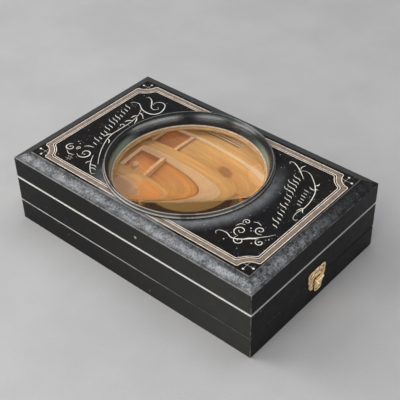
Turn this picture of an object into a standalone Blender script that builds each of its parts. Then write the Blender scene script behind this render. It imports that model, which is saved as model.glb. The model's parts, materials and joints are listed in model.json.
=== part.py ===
"""A folding lens viewer closed into its box.

It has an ebonised tray, a deep hinged lid with a bevelled top, a turned ring with a large convex lens, the
natural wood fittings under the lens, and a stamped brass clasp.

Metres, +Z up. The origin is under the middle of the box. The clasp is on the front, at -Y, and the hinges
are at +Y.
"""

import math

import bmesh
import bpy
from mathutils import Matrix, Vector

MM = 0.001
GAP = 0.3 * MM

# The box, outside
WIDTH = 170 * MM
LENGTH = 264 * MM
WALL = 8 * MM
TRAY_TOP = 21.2 * MM
FRAME_BOTTOM = 21.8 * MM
FRAME_TOP = 46.9 * MM
PANEL_BOTTOM = 47.9 * MM
EDGE_TOP = 68.2 * MM
BEVEL_INSET = 11.2 * MM
BEVEL_RISE = 4.9 * MM
PANEL_TOP = EDGE_TOP + BEVEL_RISE
ARRIS = 0.5 * MM

# Inside the shells
BOARD_THICKNESS = 4.2 * MM
BOTTOM_REBATE = 3 * MM
PANEL_WALL = 9 * MM
PANEL_BOARD = 13 * MM
LIP_INSET = 2.5 * MM
LIP_THICKNESS = 3 * MM
LIP_RISE = 3.5 * MM

# The ring and the lens, whose common axis stands a little behind the middle
LENS_CENTRE_Y = 3 * MM
RING_RADIUS = 73.6 * MM
TENON_RADIUS = 69.2 * MM
CREST_RADIUS = 71.8 * MM
CREST_RISE = 5.2 * MM
REBATE_RADIUS = 66.9 * MM
LEDGE_RADIUS = 63.5 * MM
LENS_RADIUS = 66.5 * MM
LENS_CURVE = 325 * MM
LENS_EDGE = 3 * MM
LENS_EDGE_TOP = PANEL_TOP - 7.6 * MM
RIM_WIDTH = 1.2 * MM
RIM_HEIGHT = 1.1 * MM
RING_STEPS = 72
LENS_STEPS = 64

# The natural wood fittings under the lens
LEAF_THICKNESS = 7.9 * MM
LEAF_BOTTOM = FRAME_TOP - LEAF_THICKNESS
SLOT_NEAR_Y = -72 * MM
SLOT_FAR_Y = 66 * MM
MIDDLE_SLOT = (-13.5 * MM, 13.5 * MM)
SIDE_SLOT = (23.5 * MM, 50 * MM)
GUIDE_SLOT = (60 * MM, 65.5 * MM)
GUIDE_SLOT_Y = (2 * MM, 47 * MM)
GUIDE_STRIP = (62 * MM, 63.3 * MM)
UNDER_BOARD_HALF = 67 * MM
UNDER_BOARD_Y = (-100 * MM, 43.3 * MM)
UNDER_BOARD_THICKNESS = 4 * MM
END_BOARD_Y = (20 * MM, 123.7 * MM)
END_BOARD_DROP = 1 * MM
SLIP_THICKNESS = 2.5 * MM
SLIP_FAR_Y = 38.9 * MM
STOP_Y = (40 * MM, 43 * MM)
STOP_HEIGHT = 5 * MM
KNOB_PLACE = (0, 59 * MM)

# The clasp, across the lower seam
PLATE_THICKNESS = 0.8 * MM
CLASP_REACH = 4.6 * MM
CLASP_TOP = 34.8 * MM
CLASP_HALF = 11.4 * MM
KEEPER_BOTTOM = 14.6 * MM
TONGUE_HALF = 4.8 * MM
TONGUE_TOP = 24.4 * MM
TONGUE_BOTTOM = 11.4 * MM
TONGUE_GAP = 0.8 * MM
TONGUE_CORNER = 2.8 * MM
STUD_RADIUS = 1.3 * MM
STUD_Z = 18.4 * MM
ROLL_RADIUS = 1.4 * MM

# The two hinges
HINGE_X = 50 * MM
HINGE_LENGTH = 30 * MM
MIDDLE_KNUCKLE = 10 * MM
LEAF_HEIGHT = 11 * MM
BARREL_RADIUS = 2.05 * MM
BORE_RADIUS = 1.2 * MM
PIN_RADIUS = 0.85 * MM
AXIS_Z = (TRAY_TOP + FRAME_BOTTOM) / 2
AXIS_Y = LENGTH / 2 + CLASP_REACH - BARREL_RADIUS

EBONISED = ((0.018, 0.018, 0.020), 0.38, 0.0)
POLISHED_BLACK = ((0.012, 0.012, 0.014), 0.22, 0.0)
NATURAL_WOOD = ((0.62, 0.36, 0.15), 0.5, 0.0)
PALE_WOOD = ((0.74, 0.56, 0.34), 0.5, 0.0)
BRASS = ((0.72, 0.52, 0.24), 0.35, 1.0)
PLAIN_WOOD = ((0.34, 0.22, 0.12), 0.7, 0.0)
GLASS = ((0.9, 0.94, 0.92), 0.02, 0.0)


def clear_scene():
    for obj in list(bpy.data.objects):
        bpy.data.objects.remove(obj, do_unlink=True)


def collection(name):
    made = bpy.data.collections.new(name)
    bpy.context.scene.collection.children.link(made)
    return made


def material(name, finish):
    """A Principled material from (colour, roughness, metallic)."""
    colour, roughness, metallic = finish
    made = bpy.data.materials.new(name)
    made.use_nodes = True
    shader = made.node_tree.nodes["Principled BSDF"]
    shader.inputs["Base Color"].default_value = (*colour, 1.0)
    shader.inputs["Roughness"].default_value = roughness
    shader.inputs["Metallic"].default_value = metallic
    return made


def place(name, mesh, home, finish=None, at=(0, 0, 0)):
    """Puts a mesh in a collection as a named object with its own material."""
    obj = bpy.data.objects.new(name, mesh)
    obj.location = at
    home.objects.link(obj)
    if finish is not None:
        mesh.materials.append(material(name + "_finish", finish))
    return obj


def finished(bm, name, is_round=False):
    bmesh.ops.recalc_face_normals(bm, faces=bm.faces)
    mesh = bpy.data.meshes.new(name)
    bm.to_mesh(mesh)
    bm.free()
    if is_round:
        mesh.shade_smooth()
        mesh.set_sharp_from_angle(angle=math.radians(35))
    return mesh


def cube_between(low, high):
    """A bmesh cuboid about its own middle, and the place of that middle."""
    low, high = Vector(low), Vector(high)
    bm = bmesh.new()
    bmesh.ops.create_cube(bm, size=1.0)
    bmesh.ops.scale(bm, vec=high - low, verts=bm.verts)
    return bm, (low + high) / 2


def edges_at(bm, z):
    """The outside edges that lie level at height z."""
    return [e for e in bm.edges if all(abs(v.co.z - z) < 1e-6 for v in e.verts)]


def block(name, low, high, home, finish):
    bm, middle = cube_between(low, high)
    return place(name, finished(bm, name), home, finish, middle)


def cutter(name, low, high, tools):
    obj = block(name, low, high, tools, None)
    hide(obj)
    return obj


def round_cutter(name, radius, low_z, high_z, middle, tools, steps):
    bm = bmesh.new()
    bmesh.ops.create_cone(
        bm, cap_ends=True, segments=steps, radius1=radius, radius2=radius, depth=high_z - low_z
    )
    at = (middle[0], middle[1], (low_z + high_z) / 2)
    obj = place(name, finished(bm, name, True), tools, None, at)
    hide(obj)
    return obj


def hide(obj):
    obj.hide_render = True
    obj.display_type = "WIRE"


def combine(obj, other, operation):
    step = obj.modifiers.new(f"{operation.lower()} {other.name}", "BOOLEAN")
    step.operation = operation
    step.solver = "EXACT"
    step.object = other


def carry(obj, pivot):
    """Parents a lid piece to the empty on the hinge axis, keeping its place."""
    obj.parent = pivot
    obj.location = Vector(obj.location) - Vector(pivot.location)


def turned(name, profile, steps, home, finish, at, merge_axis):
    """A profile of (radius, height), outer side from top to bottom, spun round Z by a Screw modifier."""
    bm = bmesh.new()
    points = [bm.verts.new((radius, 0.0, height)) for radius, height in profile]
    for first, second in zip(points, points[1:]):
        bm.edges.new((first, second))
    if not merge_axis:
        bm.edges.new((points[-1], points[0]))
    mesh = bpy.data.meshes.new(name)
    bm.to_mesh(mesh)
    bm.free()
    obj = place(name, mesh, home, finish, at)
    spin = obj.modifiers.new("turn", "SCREW")
    spin.axis = "Z"
    spin.steps = steps
    spin.render_steps = steps
    spin.use_merge_vertices = True
    spin.merge_threshold = 0.00005
    spin.use_smooth_shade = True
    return obj


def arc(centre, radii, start, end, count):
    """Points on an ellipse arc, from the start to the end angle in degrees."""
    points = []
    for step in range(count + 1):
        angle = math.radians(start + (end - start) * step / count)
        points.append((centre[0] + radii[0] * math.cos(angle), centre[1] + radii[1] * math.sin(angle)))
    return points


def flat_outline(name, outline, thickness, home, finish, outer_y):
    """A plate standing in the XZ plane, from an outline of (x, z), with its outer face at outer_y."""
    curve = bpy.data.curves.new(name, "CURVE")
    curve.dimensions = "2D"
    curve.fill_mode = "BOTH"
    curve.extrude = thickness / 2
    spline = curve.splines.new("POLY")
    spline.points.add(len(outline) - 1)
    for point, (x, z) in zip(spline.points, outline):
        point.co = (x, z, 0, 1)
    spline.use_cyclic_u = True
    obj = bpy.data.objects.new(name, curve)
    obj.location = (0, outer_y + thickness / 2, 0)
    obj.rotation_euler = (math.radians(90), 0, 0)
    home.objects.link(obj)
    curve.materials.append(material(name + "_finish", finish))
    return obj


def scalloped(start, end, lobes, depth, steps=5):
    """Points from start to end whose edge swells out to the right in equal lobes."""
    start, end = Vector(start), Vector(end)
    along = end - start
    outward = Vector((along.y, -along.x)).normalized()
    points = []
    for step in range(lobes * steps + 1):
        t = step / (lobes * steps)
        swell = depth * abs(math.sin(math.pi * lobes * t))
        points.append(tuple(start + along * t + outward * swell))
    return points


def mirrored(right_side):
    """Closes a right-hand outline, bottom to top, with its mirror image."""
    return right_side + [(-x, z) for x, z in reversed(right_side) if abs(x) > 1e-9]


def make_tray(home, tools):
    """The tray's four walls as one piece: a rebate below takes the bottom board."""
    low, high = (-WIDTH / 2, -LENGTH / 2, 0), (WIDTH / 2, LENGTH / 2, TRAY_TOP)
    bm, middle = cube_between(low, high)
    top = edges_at(bm, TRAY_TOP - middle.z)
    bmesh.ops.bevel(bm, geom=top, offset=ARRIS, segments=1, affect="EDGES")
    tray = place("base_tray", finished(bm, "base_tray"), home, EBONISED, middle)
    step = BOARD_THICKNESS + GAP
    inside = (WIDTH / 2 - WALL, LENGTH / 2 - WALL)
    rebate = (inside[0] + BOTTOM_REBATE, inside[1] + BOTTOM_REBATE)
    hollow = cutter("tray_hollow", (-inside[0], -inside[1], -MM), (*inside, TRAY_TOP + MM), tools)
    below = cutter("tray_rebate", (-rebate[0], -rebate[1], -2 * MM), (rebate[0], rebate[1], step), tools)
    combine(tray, hollow, "DIFFERENCE")
    combine(tray, below, "DIFFERENCE")
    block(
        "bottom_board",
        (GAP - rebate[0], GAP - rebate[1], 0),
        (rebate[0] - GAP, rebate[1] - GAP, BOARD_THICKNESS),
        home,
        PLAIN_WOOD,
    )


def make_lid_frame(home, tools):
    """The lid's lower walls, with a lip that stands up inside the upper seam."""
    low, high = (-WIDTH / 2, -LENGTH / 2, FRAME_BOTTOM), (WIDTH / 2, LENGTH / 2, FRAME_TOP)
    bm, middle = cube_between(low, high)
    ends = edges_at(bm, FRAME_TOP - middle.z) + edges_at(bm, FRAME_BOTTOM - middle.z)
    bmesh.ops.bevel(bm, geom=ends, offset=ARRIS, segments=1, affect="EDGES")
    top = [f for f in bm.faces if f.normal.z > 0.99]
    bmesh.ops.inset_region(bm, faces=top, thickness=LIP_INSET - ARRIS, use_even_offset=True)
    risen = bmesh.ops.extrude_face_region(bm, geom=top)
    lifted = [v for v in risen["geom"] if isinstance(v, bmesh.types.BMVert)]
    bmesh.ops.translate(bm, vec=(0, 0, LIP_RISE), verts=lifted)
    bmesh.ops.delete(bm, geom=top, context="FACES_ONLY")
    frame = place("lid_frame", finished(bm, "lid_frame"), home, EBONISED, middle)
    inside = (WIDTH / 2 - WALL, LENGTH / 2 - WALL)
    lip = (WIDTH / 2 - LIP_INSET - LIP_THICKNESS, LENGTH / 2 - LIP_INSET - LIP_THICKNESS)
    top_z = FRAME_TOP + LIP_RISE + MM
    hollow = cutter("frame_hollow", (-inside[0], -inside[1], FRAME_BOTTOM - MM), (*inside, top_z), tools)
    above = cutter("lip_hollow", (-lip[0], -lip[1], FRAME_TOP), (*lip, top_z + MM), tools)
    combine(frame, hollow, "DIFFERENCE")
    combine(frame, above, "DIFFERENCE")
    return frame


def make_lens_panel(home, tools):
    """The hollow top: mitred bevels, skirt walls rebated over the frame's lip, and the bore for the ring."""
    low, high = (-WIDTH / 2, -LENGTH / 2, PANEL_BOTTOM), (WIDTH / 2, LENGTH / 2, EDGE_TOP)
    bm, middle = cube_between(low, high)
    bottom = edges_at(bm, PANEL_BOTTOM - middle.z)
    bmesh.ops.bevel(bm, geom=bottom, offset=ARRIS, segments=1, affect="EDGES")
    top = [f for f in bm.faces if f.normal.z > 0.99]
    bmesh.ops.inset_region(bm, faces=top, thickness=BEVEL_INSET, use_even_offset=True)
    bmesh.ops.translate(bm, vec=(0, 0, BEVEL_RISE), verts=list({v for f in top for v in f.verts}))
    panel = place("lens_panel", finished(bm, "lens_panel"), home, EBONISED, middle)
    inside = (WIDTH / 2 - PANEL_WALL, LENGTH / 2 - PANEL_WALL)
    over_lip = (WIDTH / 2 - LIP_INSET + GAP, LENGTH / 2 - LIP_INSET + GAP)
    ceiling = PANEL_TOP - PANEL_BOARD
    hollow = cutter("panel_hollow", (-inside[0], -inside[1], PANEL_BOTTOM - MM), (*inside, ceiling), tools)
    rebate = cutter(
        "panel_rebate",
        (-over_lip[0], -over_lip[1], PANEL_BOTTOM - 2 * MM),
        (*over_lip, FRAME_TOP + LIP_RISE + GAP),
        tools,
    )
    bore = round_cutter(
        "ring_bore",
        TENON_RADIUS + GAP,
        PANEL_BOTTOM,
        PANEL_TOP + MM,
        (0, LENS_CENTRE_Y),
        tools,
        RING_STEPS,
    )
    for tool in (hollow, rebate, bore):
        combine(panel, tool, "DIFFERENCE")
    return panel


def make_ring(home):
    """The turned ring: two beads outside, a convex slope down to the glass, a ledge and a tenon below."""
    foot = LENS_EDGE_TOP + GAP + RIM_HEIGHT
    ledge = LENS_EDGE_TOP - LENS_EDGE - GAP
    seat_fall = (LENS_RADIUS**2 - LEDGE_RADIUS**2) / (2 * LENS_CURVE)
    tenon_bottom = PANEL_TOP - PANEL_BOARD - GAP
    crest = PANEL_TOP + CREST_RISE
    flange = PANEL_TOP + GAP
    bead = 1.25 * MM
    bead_centre = (RING_RADIUS - bead, PANEL_TOP + 1.6 * MM)
    profile = arc((CREST_RADIUS, crest - MM), (MM, MM), 90, -20, 4)
    profile += arc(bead_centre, (bead, bead), 75, -60, 5)
    profile += [(RING_RADIUS - 0.8 * MM, flange), (TENON_RADIUS, flange), (TENON_RADIUS, tenon_bottom)]
    profile += [(LEDGE_RADIUS, tenon_bottom), (LEDGE_RADIUS, ledge - seat_fall), (REBATE_RADIUS, ledge)]
    slope = arc((CREST_RADIUS, foot), (CREST_RADIUS - REBATE_RADIUS, crest - foot), 180, 90, 8)
    profile += slope[:-1]
    return turned("lens_ring", profile, RING_STEPS, home, POLISHED_BLACK, (0, LENS_CENTRE_Y, 0), False)


def make_lens(home):
    """A lens that is equally convex above and below, with a ground edge."""
    span = math.degrees(math.asin(LENS_RADIUS / LENS_CURVE))
    drop = LENS_CURVE * math.cos(math.radians(span))
    upper_centre = LENS_EDGE_TOP - drop
    lower_centre = LENS_EDGE_TOP - LENS_EDGE + drop
    profile = arc((0, upper_centre), (LENS_CURVE, LENS_CURVE), 90, 90 - span, 7)
    profile += arc((0, lower_centre), (LENS_CURVE, LENS_CURVE), span - 90, -90, 7)
    return turned("lens", profile, LENS_STEPS, home, GLASS, (0, LENS_CENTRE_Y, 0), True)


def make_rim(home):
    """The thin ring that keeps the glass on its ledge."""
    rise_of_glass = 0.2 * MM
    chamfer = 0.4 * MM
    bottom = LENS_EDGE_TOP + GAP + rise_of_glass
    outer = REBATE_RADIUS - GAP
    inner = outer - RIM_WIDTH
    top = bottom + RIM_HEIGHT
    profile = [(outer, top), (outer, bottom), (inner, bottom)]
    profile += [(inner, top - chamfer), (inner + chamfer, top)]
    return turned("retaining_rim", profile, RING_STEPS, home, PALE_WOOD, (0, LENS_CENTRE_Y, 0), False)


def make_fittings(home, tools):
    """The natural wood leaf and the boards, slips, stops and strips in and under its slots."""
    pieces = []
    inside = (WIDTH / 2 - WALL - GAP, LENGTH / 2 - WALL - GAP)
    low = (-inside[0], -inside[1], LEAF_BOTTOM)
    leaf = block("slotted_leaf", low, (*inside, FRAME_TOP), home, NATURAL_WOOD)
    slots = {"slot_middle": (MIDDLE_SLOT, (SLOT_NEAR_Y, SLOT_FAR_Y))}
    for side, sign in (("left", -1), ("right", 1)):
        for kind, span, run in (
            ("side", SIDE_SLOT, (SLOT_NEAR_Y, SLOT_FAR_Y)),
            ("guide", GUIDE_SLOT, GUIDE_SLOT_Y),
        ):
            slots[f"slot_{kind}_{side}"] = (tuple(sorted((sign * span[0], sign * span[1]))), run)
    for name, (span, run) in slots.items():
        tool = cutter(name, (span[0], run[0], LEAF_BOTTOM - MM), (span[1], run[1], FRAME_TOP + MM), tools)
        combine(leaf, tool, "DIFFERENCE")
    pieces.append(leaf)

    board_top = LEAF_BOTTOM - GAP
    board_bottom = board_top - UNDER_BOARD_THICKNESS
    pieces.append(
        block(
            "under_board",
            (-UNDER_BOARD_HALF, UNDER_BOARD_Y[0], board_bottom),
            (UNDER_BOARD_HALF, UNDER_BOARD_Y[1], board_top),
            home,
            NATURAL_WOOD,
        )
    )
    end_top = board_bottom - END_BOARD_DROP
    pieces.append(
        block(
            "end_board",
            (-inside[0], END_BOARD_Y[0], end_top - UNDER_BOARD_THICKNESS),
            (inside[0], END_BOARD_Y[1], end_top),
            home,
            NATURAL_WOOD,
        )
    )

    def in_slot(name, span, run, height, finish):
        low = (span[0] + GAP, run[0], board_top + GAP)
        high = (span[1] - GAP, run[1], board_top + GAP + height)
        pieces.append(block(name, low, high, home, finish))

    in_slot("slot_stop_centre", MIDDLE_SLOT, STOP_Y, STOP_HEIGHT, PALE_WOOD)
    for side, sign in (("left", -1), ("right", 1)):
        span = tuple(sorted((sign * SIDE_SLOT[0], sign * SIDE_SLOT[1])))
        strip = tuple(sorted((sign * GUIDE_STRIP[0], sign * GUIDE_STRIP[1])))
        run = (GUIDE_SLOT_Y[0] + GAP, GUIDE_SLOT_Y[1] - GAP)
        in_slot(f"slot_slip_{side}", span, (SLOT_NEAR_Y + GAP, SLIP_FAR_Y), SLIP_THICKNESS, NATURAL_WOOD)
        in_slot(f"slot_stop_{side}", span, STOP_Y, STOP_HEIGHT, PALE_WOOD)
        low = (strip[0], run[0], board_top + GAP)
        high = (strip[1], min(run[1], UNDER_BOARD_Y[1]), FRAME_TOP)
        pieces.append(block(f"guide_strip_{side}", low, high, home, PALE_WOOD))

    knob = [(0, 6), (1.6, 5.7), (2.7, 4.6), (2.7, 3.4), (1.5, 2.4), (1.5, 1.6), (3.2, 0.9), (3.2, 0), (0, 0)]
    profile = [(radius * MM, height * MM) for radius, height in knob]
    at = (*KNOB_PLACE, end_top + GAP)
    pieces.append(turned("brass_knob", profile, 20, home, BRASS, at, True))
    return pieces


def make_clasp(home, tools):
    """The keeper stays on the tray. The plate and its sprung tongue go up with the lid."""
    face = -LENGTH / 2 - GAP - PLATE_THICKNESS
    keeper_top = TRAY_TOP - 0.1 * MM
    lobe_inner, lobe_outer = 4.6 * MM, CLASP_HALF - 2.6 * MM
    notch = KEEPER_BOTTOM + 2.8 * MM
    right = [(0, KEEPER_BOTTOM), (lobe_inner - 1.2 * MM, KEEPER_BOTTOM)]
    right += scalloped((lobe_inner, notch), (lobe_outer - 0.2 * MM, KEEPER_BOTTOM), 1, 1.2 * MM)
    right += scalloped((lobe_outer, KEEPER_BOTTOM + MM), (CLASP_HALF - 0.8 * MM, keeper_top), 1, 0.8 * MM)
    flat_outline("clasp_keeper", mirrored(right + [(0, keeper_top)]), PLATE_THICKNESS, home, BRASS, face)

    plate_bottom = FRAME_BOTTOM + 0.1 * MM
    shoulder = CLASP_TOP - 1.8 * MM
    dip = (0.35 * CLASP_HALF, CLASP_TOP - 0.9 * MM)
    right = [(0, plate_bottom)]
    right += scalloped((CLASP_HALF - 0.6 * MM, plate_bottom), (CLASP_HALF, shoulder), 2, 0.9 * MM)
    right += scalloped((CLASP_HALF - 0.5 * MM, shoulder + 0.5 * MM), dip, 1, 0.9 * MM)
    right += scalloped(dip, (0, CLASP_TOP), 1, 0.5 * MM)
    plate = flat_outline("clasp_plate", mirrored(right), PLATE_THICKNESS, home, BRASS, face)

    low = (-TONGUE_HALF, face - TONGUE_GAP - PLATE_THICKNESS, TONGUE_BOTTOM)
    high = (TONGUE_HALF, face - TONGUE_GAP, TONGUE_TOP)
    bm, middle = cube_between(low, high)
    bottom = edges_at(bm, TONGUE_BOTTOM - middle.z)
    tip = [e for e in bottom if abs(e.verts[0].co.x - e.verts[1].co.x) < 1e-6]
    bmesh.ops.bevel(bm, geom=tip, offset=TONGUE_CORNER, segments=5, profile=0.5, affect="EDGES")
    tongue = place("clasp_tongue", finished(bm, "clasp_tongue", True), home, BRASS, middle)
    roll_y = -LENGTH / 2 - CLASP_REACH + ROLL_RADIUS
    roll = rod("tongue_roll", -TONGUE_HALF, TONGUE_HALF, ROLL_RADIUS, (roll_y, TONGUE_TOP), tools, 16)
    hide(roll)
    bm = bmesh.new()
    bmesh.ops.create_uvsphere(bm, u_segments=12, v_segments=8, radius=STUD_RADIUS)
    at = (0, low[1] - 0.2 * MM, STUD_Z)
    stud = place("tongue_stud", finished(bm, "tongue_stud", True), tools, None, at)
    hide(stud)
    combine(tongue, roll, "UNION")
    combine(tongue, stud, "UNION")
    return [plate, tongue]


def rod(name, start, end, radius, centre, home, steps=20):
    """A cylinder along X, from start to end, about a centre of (y, z)."""
    bm = bmesh.new()
    length = end - start
    bmesh.ops.create_cone(bm, cap_ends=True, segments=steps, radius1=radius, radius2=radius, depth=length)
    bmesh.ops.rotate(bm, matrix=Matrix.Rotation(math.radians(90), 3, "Y"), verts=bm.verts)
    return place(name, finished(bm, name, True), home, None, ((start + end) / 2, *centre))


def make_hinge(side, middle, home, tools):
    """A butt hinge on the back: outer knuckles on the tray, the middle one on the lid, and a loose pin."""
    back = LENGTH / 2 + GAP
    half = HINGE_LENGTH / 2
    knuckle = MIDDLE_KNUCKLE / 2
    clear = 2.5 * MM
    axis = (AXIS_Y, AXIS_Z)
    ends = (middle - half - MM, middle + half + MM)
    bore = rod(f"{side}_pin_bore", *ends, BORE_RADIUS, axis, tools)
    hide(bore)

    def leaf(name, low_z, high_z, spans):
        made = block(
            name, (middle - half, back, low_z), (middle + half, back + PLATE_THICKNESS, high_z), home, BRASS
        )
        for number, (start, end) in enumerate(spans):
            tab = block(
                f"{name}_tab{number}",
                (start, back, min(AXIS_Z, low_z)),
                (end, back + PLATE_THICKNESS, max(AXIS_Z, high_z) - 0.1 * MM),
                tools,
                None,
            )
            round_part = rod(f"{name}_knuckle{number}", start, end, BARREL_RADIUS, axis, tools)
            for tool in (tab, round_part):
                hide(tool)
                combine(made, tool, "UNION")
        combine(made, bore, "DIFFERENCE")
        return made

    outer = [(middle - half, middle - knuckle - GAP / 2), (middle + knuckle + GAP / 2, middle + half)]
    inner = [(middle - knuckle + GAP / 2, middle + knuckle - GAP / 2)]
    leaf(f"hinge_{side}_base_leaf", AXIS_Z - clear - LEAF_HEIGHT, AXIS_Z - clear, outer)
    lid_leaf = leaf(f"hinge_{side}_lid_leaf", AXIS_Z + clear, AXIS_Z + clear + LEAF_HEIGHT, inner)
    pin = rod(f"hinge_{side}_pin", *ends, PIN_RADIUS, axis, home)
    pin.data.materials.append(material(f"hinge_{side}_pin_finish", BRASS))
    return lid_leaf


def main():
    clear_scene()
    home = collection("Folding lens viewer box")
    tools = collection("Cutters")

    pivot = bpy.data.objects.new("lid_pivot", None)
    pivot.location = (0, AXIS_Y, AXIS_Z)
    home.objects.link(pivot)

    make_tray(home, tools)
    lid = [
        make_lid_frame(home, tools),
        make_lens_panel(home, tools),
        make_ring(home),
        make_lens(home),
        make_rim(home),
    ]
    lid += make_fittings(home, tools)
    lid += make_clasp(home, tools)
    lid += [make_hinge("left", -HINGE_X, home, tools), make_hinge("right", HINGE_X, home, tools)]
    for obj in lid:
        carry(obj, pivot)


main()
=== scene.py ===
"""Looks of the folding lens viewer box.

Ebonised wood with a gilt border and scrolls, a turned black ring with its lens, the natural wood fittings
under the glass, and stamped brass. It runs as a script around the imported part.
"""

import json
import math

import bmesh
import bpy
from bpy.props import FloatProperty, FloatVectorProperty, IntProperty, PointerProperty
from mathutils import Matrix, Vector

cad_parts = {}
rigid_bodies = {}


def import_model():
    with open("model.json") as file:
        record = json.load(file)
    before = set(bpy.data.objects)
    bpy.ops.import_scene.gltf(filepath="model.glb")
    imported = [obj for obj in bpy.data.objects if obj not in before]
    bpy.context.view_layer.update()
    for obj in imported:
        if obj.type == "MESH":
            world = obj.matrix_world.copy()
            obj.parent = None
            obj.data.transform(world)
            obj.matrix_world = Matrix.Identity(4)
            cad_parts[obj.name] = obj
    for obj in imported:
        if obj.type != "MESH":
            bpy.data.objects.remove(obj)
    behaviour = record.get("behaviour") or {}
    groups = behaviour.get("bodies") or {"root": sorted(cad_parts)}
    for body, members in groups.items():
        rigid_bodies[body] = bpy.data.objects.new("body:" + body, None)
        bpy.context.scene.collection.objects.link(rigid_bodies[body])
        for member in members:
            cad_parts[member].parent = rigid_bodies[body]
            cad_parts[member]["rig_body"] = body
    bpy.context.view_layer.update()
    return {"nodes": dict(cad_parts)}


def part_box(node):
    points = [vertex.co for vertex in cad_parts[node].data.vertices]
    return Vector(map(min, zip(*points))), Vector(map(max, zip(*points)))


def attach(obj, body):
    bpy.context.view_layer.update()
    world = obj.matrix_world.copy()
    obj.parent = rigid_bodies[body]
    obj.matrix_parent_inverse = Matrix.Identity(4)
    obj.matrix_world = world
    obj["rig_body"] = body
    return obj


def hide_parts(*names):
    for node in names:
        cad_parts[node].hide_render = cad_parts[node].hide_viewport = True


bl_info = {
    "name": "Folding lens viewer finishes",
    "version": (1, 0, 0),
    "blender": (4, 5, 0),
    "location": "View3D > Sidebar > Lens viewer",
    "description": "Dresses the packed lens viewer box in ebonised wood, gilding, glass and brass",
    "category": "Object",
}

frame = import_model()
MM = 0.001
NEARLY_NOTHING = 1e-9


def reach_of(node, axis):
    """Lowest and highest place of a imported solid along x, y or z, in millimetres."""
    return [getattr(corner, axis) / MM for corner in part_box(node)]


# Places that the finishes and the pieces take from the frame, in millimetres
HALF_WIDTH = reach_of("lens_panel", "x")[1]
HALF_LENGTH = reach_of("lens_panel", "y")[1]
TOP_Z = reach_of("lens_panel", "z")[1]
LEAF_TOP_Z = reach_of("slotted_leaf", "z")[1]
RING_FOOT_Z, RING_TOP_Z = reach_of("lens_ring", "z")
RING_Y = sum(reach_of("lens_ring", "y")) / 2
# Sizes of the lid that the frame doesn't name: its bevels and seams, the ring's ledge, and the radius
# from the ring's axis that the ring hides
BEVEL_INSET = 11.2
BEVEL_RISE = 4.9
EDGE_TOP_Z = TOP_Z - BEVEL_RISE
FLAT_HALF_WIDTH = HALF_WIDTH - BEVEL_INSET
FLAT_HALF_LENGTH = HALF_LENGTH - BEVEL_INSET
UPPER_SEAM_Z = 47.1
LOWER_SEAM_Z = 21.5
LEDGE_Z = 66.0
UNDER_RING = 70.6


def length(name, description, millimetres):
    return FloatProperty(name=name, description=description, default=millimetres * MM, min=0.0, unit="LENGTH")


def tone(name, description, colour):
    return FloatVectorProperty(name=name, description=description, default=colour, subtype="COLOR")


def power(name, description, watts):
    return FloatProperty(name=name, description=description, default=watts, unit="POWER")


class ViewerSizes(bpy.types.PropertyGroup):
    """Sizes of the fine work that the solids leave to the finish."""

    arris: length("Arris rounding", "How far the wooden edges are rubbed round", 0.45)
    board_arris: length("Board edge rounding", "Rounding of the natural wood boards", 0.35)
    border_half_width: length("Border half width", "Middle of the lid to the outer gilt line, across", 71.2)
    border_half_length: length("Border half length", "Middle of the lid to the outer gilt line, along", 119.3)
    corner_notch: length("Corner notch", "Radius of the hollow corner of the border", 12.3)
    line_width: length("Line width", "Width of the plain gilt lines", 0.75)
    band_width: length("Hatched band width", "Width of the finely hatched band of the border", 3.3)
    gilt_thickness: length("Gilt thickness", "How far the gilding stands on the wood", 0.04)
    ring_steps: IntProperty(
        name="Steps round the ring", description="Faces round the turned pieces", default=256, min=32
    )


class ViewerColours(bpy.types.PropertyGroup):
    """Colours of the finishes, as linear values."""

    ebony: tone("Ebonised wood", "The black stain and polish", (0.0075, 0.0075, 0.0085))
    # Dust, which also carries a painted sheen where the upper faces catch the light
    dust_and_sheen: tone("Dust and haze", "Bluish film on the upper faces", (0.46, 0.478, 0.508))
    gilt: tone("Gilding", "Dull gilding of the border", (0.38, 0.285, 0.215))
    line: tone("Border lines", "The paler plain lines of the border", (0.80, 0.71, 0.61))
    silver: tone("Silvery strokes", "Paler gilding of the scrolls and strokes", (0.78, 0.76, 0.69))
    board: tone("Natural wood", "Face of the boards under the lens", (0.655, 0.382, 0.149))
    # Paler end wood, which also carries painted light on the upright faces
    cut_edge: tone("Cut edges", "The paler sawn edges of the slots", (1.0, 0.88, 0.68))
    deep_board: tone("Lower boards", "The redder boards that close the slots", (0.61, 0.305, 0.103))
    # Wood tone that also stands in part for painted light on the left of the leaf
    warm_board: tone("Orange boards", "The vivid orange wood on the left of the leaf", (0.86, 0.31, 0.08))
    plain_wood: tone("Plain wood", "Unpolished wood inside and underneath", (0.20, 0.105, 0.045))
    ivory: tone("Seam", "Bare pale wood in the upper seam", (0.74, 0.73, 0.70))
    brass: tone("Brass", "Lacquered stamped brass", (0.94, 0.79, 0.52))


class ViewerStage(bpy.types.PropertyGroup):
    """Floor and lamps."""

    floor: tone("Floor", "Pale floor", (0.46, 0.46, 0.465))
    key_power: power("Key lamp", "Large soft lamp behind and to the left", 14.0)
    top_power: power("Top lamp", "Soft lamp overhead", 9.0)
    fill_power: power("Fill lamp", "Soft lamp high on the left, which reaches the walls of the slots", 3.6)
    left_power: power("Left lamp", "Large soft lamp low on the left", 6.5)
    card_power: power("Reflector cards", "Cards round the part that only the gloss shows", 26.0)
    glass_power: power("Glass cards", "Small dim cards that lay a pale haze on the glass", 1.5)
    sky: FloatProperty(
        name="Ambient light", description="Even grey light from all round", default=0.32, min=0.0
    )


def sizes():
    return bpy.context.scene.viewer_sizes


def in_mm(name):
    return getattr(sizes(), name) / MM


def colours():
    return bpy.context.scene.viewer_colours


def shade_of(colour, factor):
    return tuple(channel * factor for channel in colour[:3])


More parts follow.
